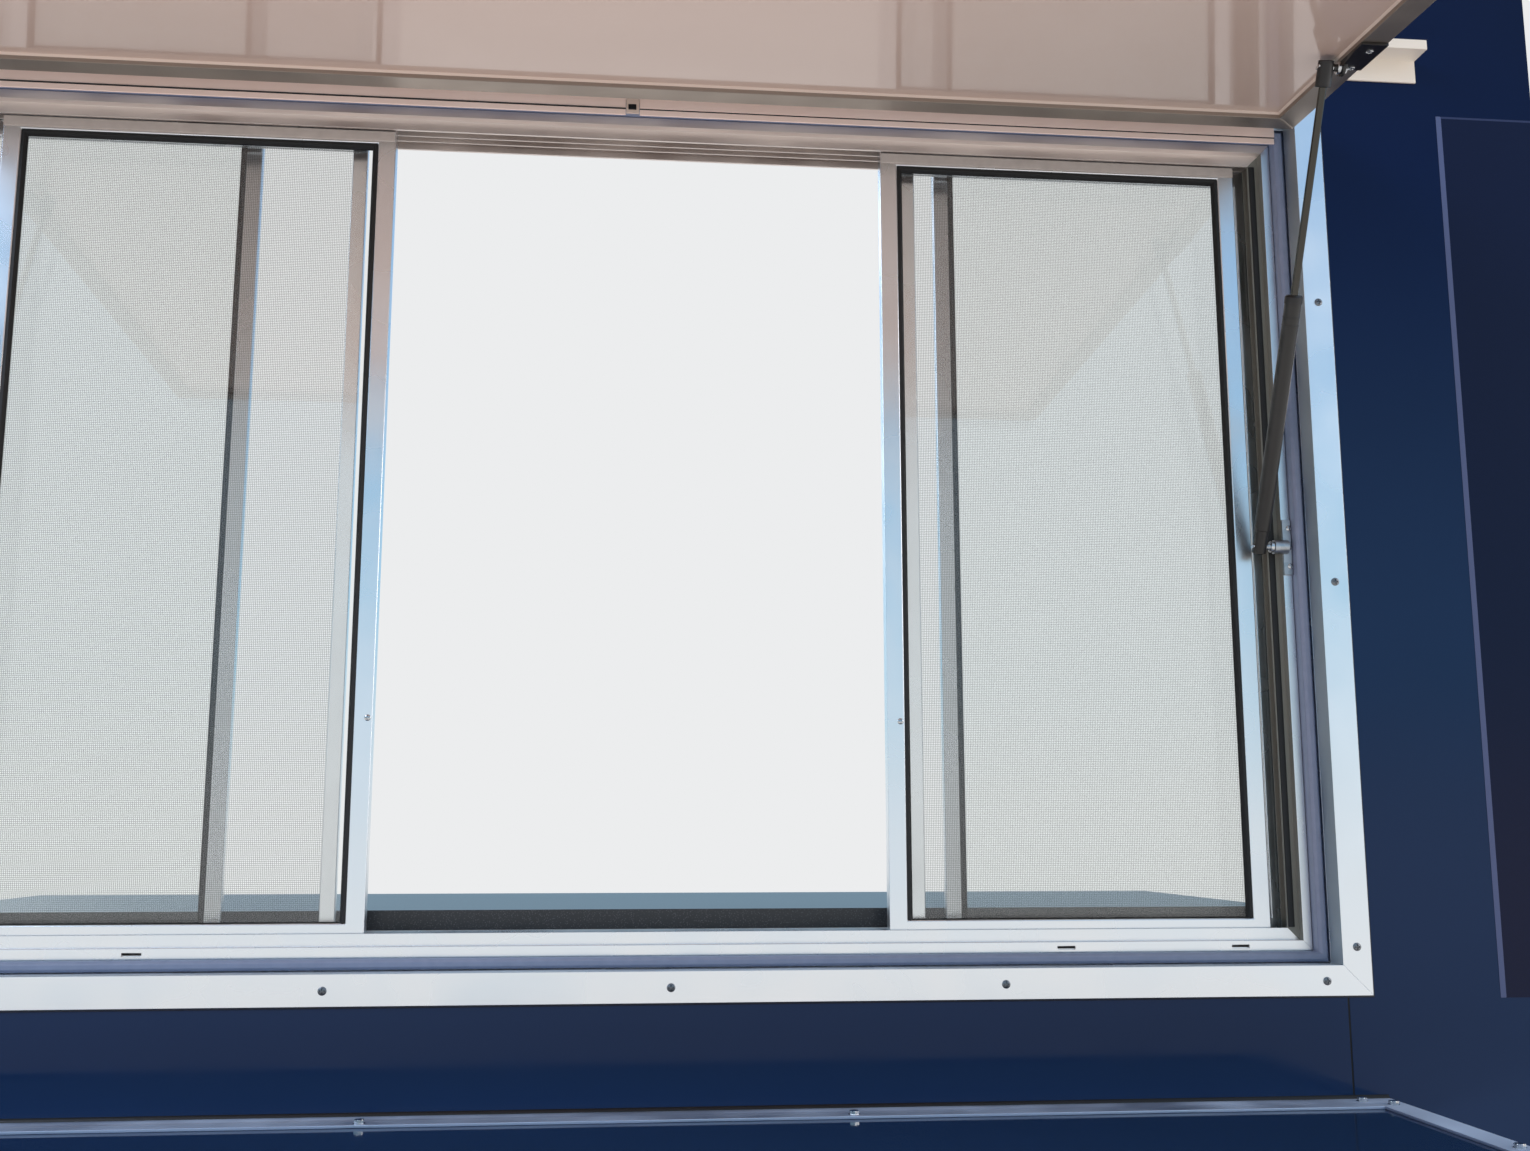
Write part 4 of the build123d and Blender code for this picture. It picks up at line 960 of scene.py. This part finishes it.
# Outside shelf: bolts in its border and rail, link pins, foot rollers and channel screws
shelfBolts = dict(size=(5.2, 4.0), top=718, rail=((-786, -57), (786, -57)),
                  rim=((-243, -80), (243, -80), (-809, -79.5), (809, -79.5), (-811, -303),
                       (811, -303)))
for name, row, body in (("shelfRimBolts", "rim", "shelf"), ("shelfRailBolts", "rail", "wall")):
    fasten(name, boltHead(*shelfBolts["size"]),
           [(x, y, shelfBolts["top"]) for x, y in shelfBolts[row]], "up", body)
link = dict(
    x=600, pin=(-272, 680), foot=(-49, 480), lugFace=7, rollerFace=2.5,
    rivet=((0, -0.3), (5.0, -0.3), (5.0, 0.6), (4.2, 1.7), (2.6, 2.3), (0, 2.5)),
    roller=((0, 0), (4.6, 0), (5.1, 0.5), (5.1, 2.9), (4.6, 3.4), (2.2, 3.4), (2.0, 4.0),
            (0, 4.0)))
for end, side in ((-1, "left"), (1, "right")):
    for name, profile, gap, spot, material, body, slot in (
            ("Pin", "rivet", link["lugFace"], link["pin"], stainlessSteel, "shelf",
             "latch_steel"),
            ("Rollers", "roller", link["rollerFace"], link["foot"], glassFilledNylon,
             f"shelf_link_{side}", "strut_black")):
        faces = [placed(turned(link[profile]), [(end * link["x"] + out * gap, *spot)], facing)
                 for out, facing in ((-1, "left"), (1, "right"))]
        meshFrom(f"shelfLink{side.title()}{name}", joined(*faces), material, body)
channelScrews = dict(head=(3.0, 1.0, 2.0), spots=spotsAt((-600, 600), -42.5, (176, 535)))
fasten("channelScrews", screwHead(*channelScrews["head"]), channelScrews["spots"], "street",
       "wall")
print("shelf dressed")

# Inside: casing screws, the lining's joint strips and rivets, the counter brackets' feet
casing = dict(head=(3.8, 1.5, 2.6), face=43, sidesX=(-801, 801), sidesZ=(900, 1188, 1476, 1764),
              endsX=(-640, -320, 0, 320, 640), endsZ=(836, 1858))
spots = spotsAt(casing["sidesX"], casing["face"], casing["sidesZ"])
for z in casing["endsZ"]:
    spots += spotsAt(casing["endsX"], casing["face"], z)
fasten("casingScrews", screwHead(*casing["head"]), spots, "inside", "wall")

strip = dict(x=350, width=38, thick=2.2, corner=3, edge=1.2, spans=((47, 817), (1877, 2003)),
             rivet=(3.4, 1.3), rivetInset=30, rivetPitch=150, face=40)
strips, dots = [], []
for side in (-1, 1):
    for low, high in strip["spans"]:
        plate = roundedPlate(strip["width"], high - low, strip["thick"], strip["corner"],
                             strip["edge"], 4)
        strips.append(placed(plate, [(side * strip["x"], strip["face"], (low + high) / 2)],
                             "inside"))
        count = max(2, round((high - low) / strip["rivetPitch"]))
        dots += [(side * strip["x"], strip["face"] + strip["thick"], z) for z in
                 np.linspace(low + strip["rivetInset"], high - strip["rivetInset"], count)]
strips.append(placed(rivetHead(*strip["rivet"]), dots, "inside"))
meshFrom("liningJointStrips", joined(*strips), extrudedPvcWhite, "wall")
edgeRivets = dict(z=(70, 1980), x=np.linspace(-1050, 1050, 9), clear=30)
fasten("liningRivets", rivetHead(*strip["rivet"]),
       [(x, strip["face"], z) for z in edgeRivets["z"] for x in edgeRivets["x"]
        if abs(abs(x) - strip["x"]) > edgeRivets["clear"]], "inside", "wall",
       extrudedPvcWhite)

feet = dict(x=(-618, 2.5, 623), z=715, face=40, plate=(44, 150, 2.5, 4, 0.5),
            head=(3.6, 1.8, 2.4), screwX=14, screwZ=(655, 775))
fasten("counterBracketFeet", roundedPlate(*feet["plate"]),
       [(x, feet["face"], feet["z"]) for x in feet["x"]], "inside", "wall", zincPlatedSteel)
fasten("counterBracketScrews", screwHead(*feet["head"]),
       [(x + dx, feet["face"] + feet["plate"][2], z) for x in feet["x"]
        for dx in (-feet["screwX"], feet["screwX"]) for z in feet["screwZ"]], "inside", "wall")

railRivets = dict(size=(3.6, 1.5, 20), face=43, x=np.linspace(-1020, 1020, 8), z=(25, 2025))
for name, side, facing in (("railRivets", -1, "street"), ("railRivetsInside", 1, "inside")):
    fasten(name, rivetHead(*railRivets["size"]),
           [(x, side * railRivets["face"], z) for z in railRivets["z"] for x in railRivets["x"]],
           facing, "wall")
print("inside dressed")
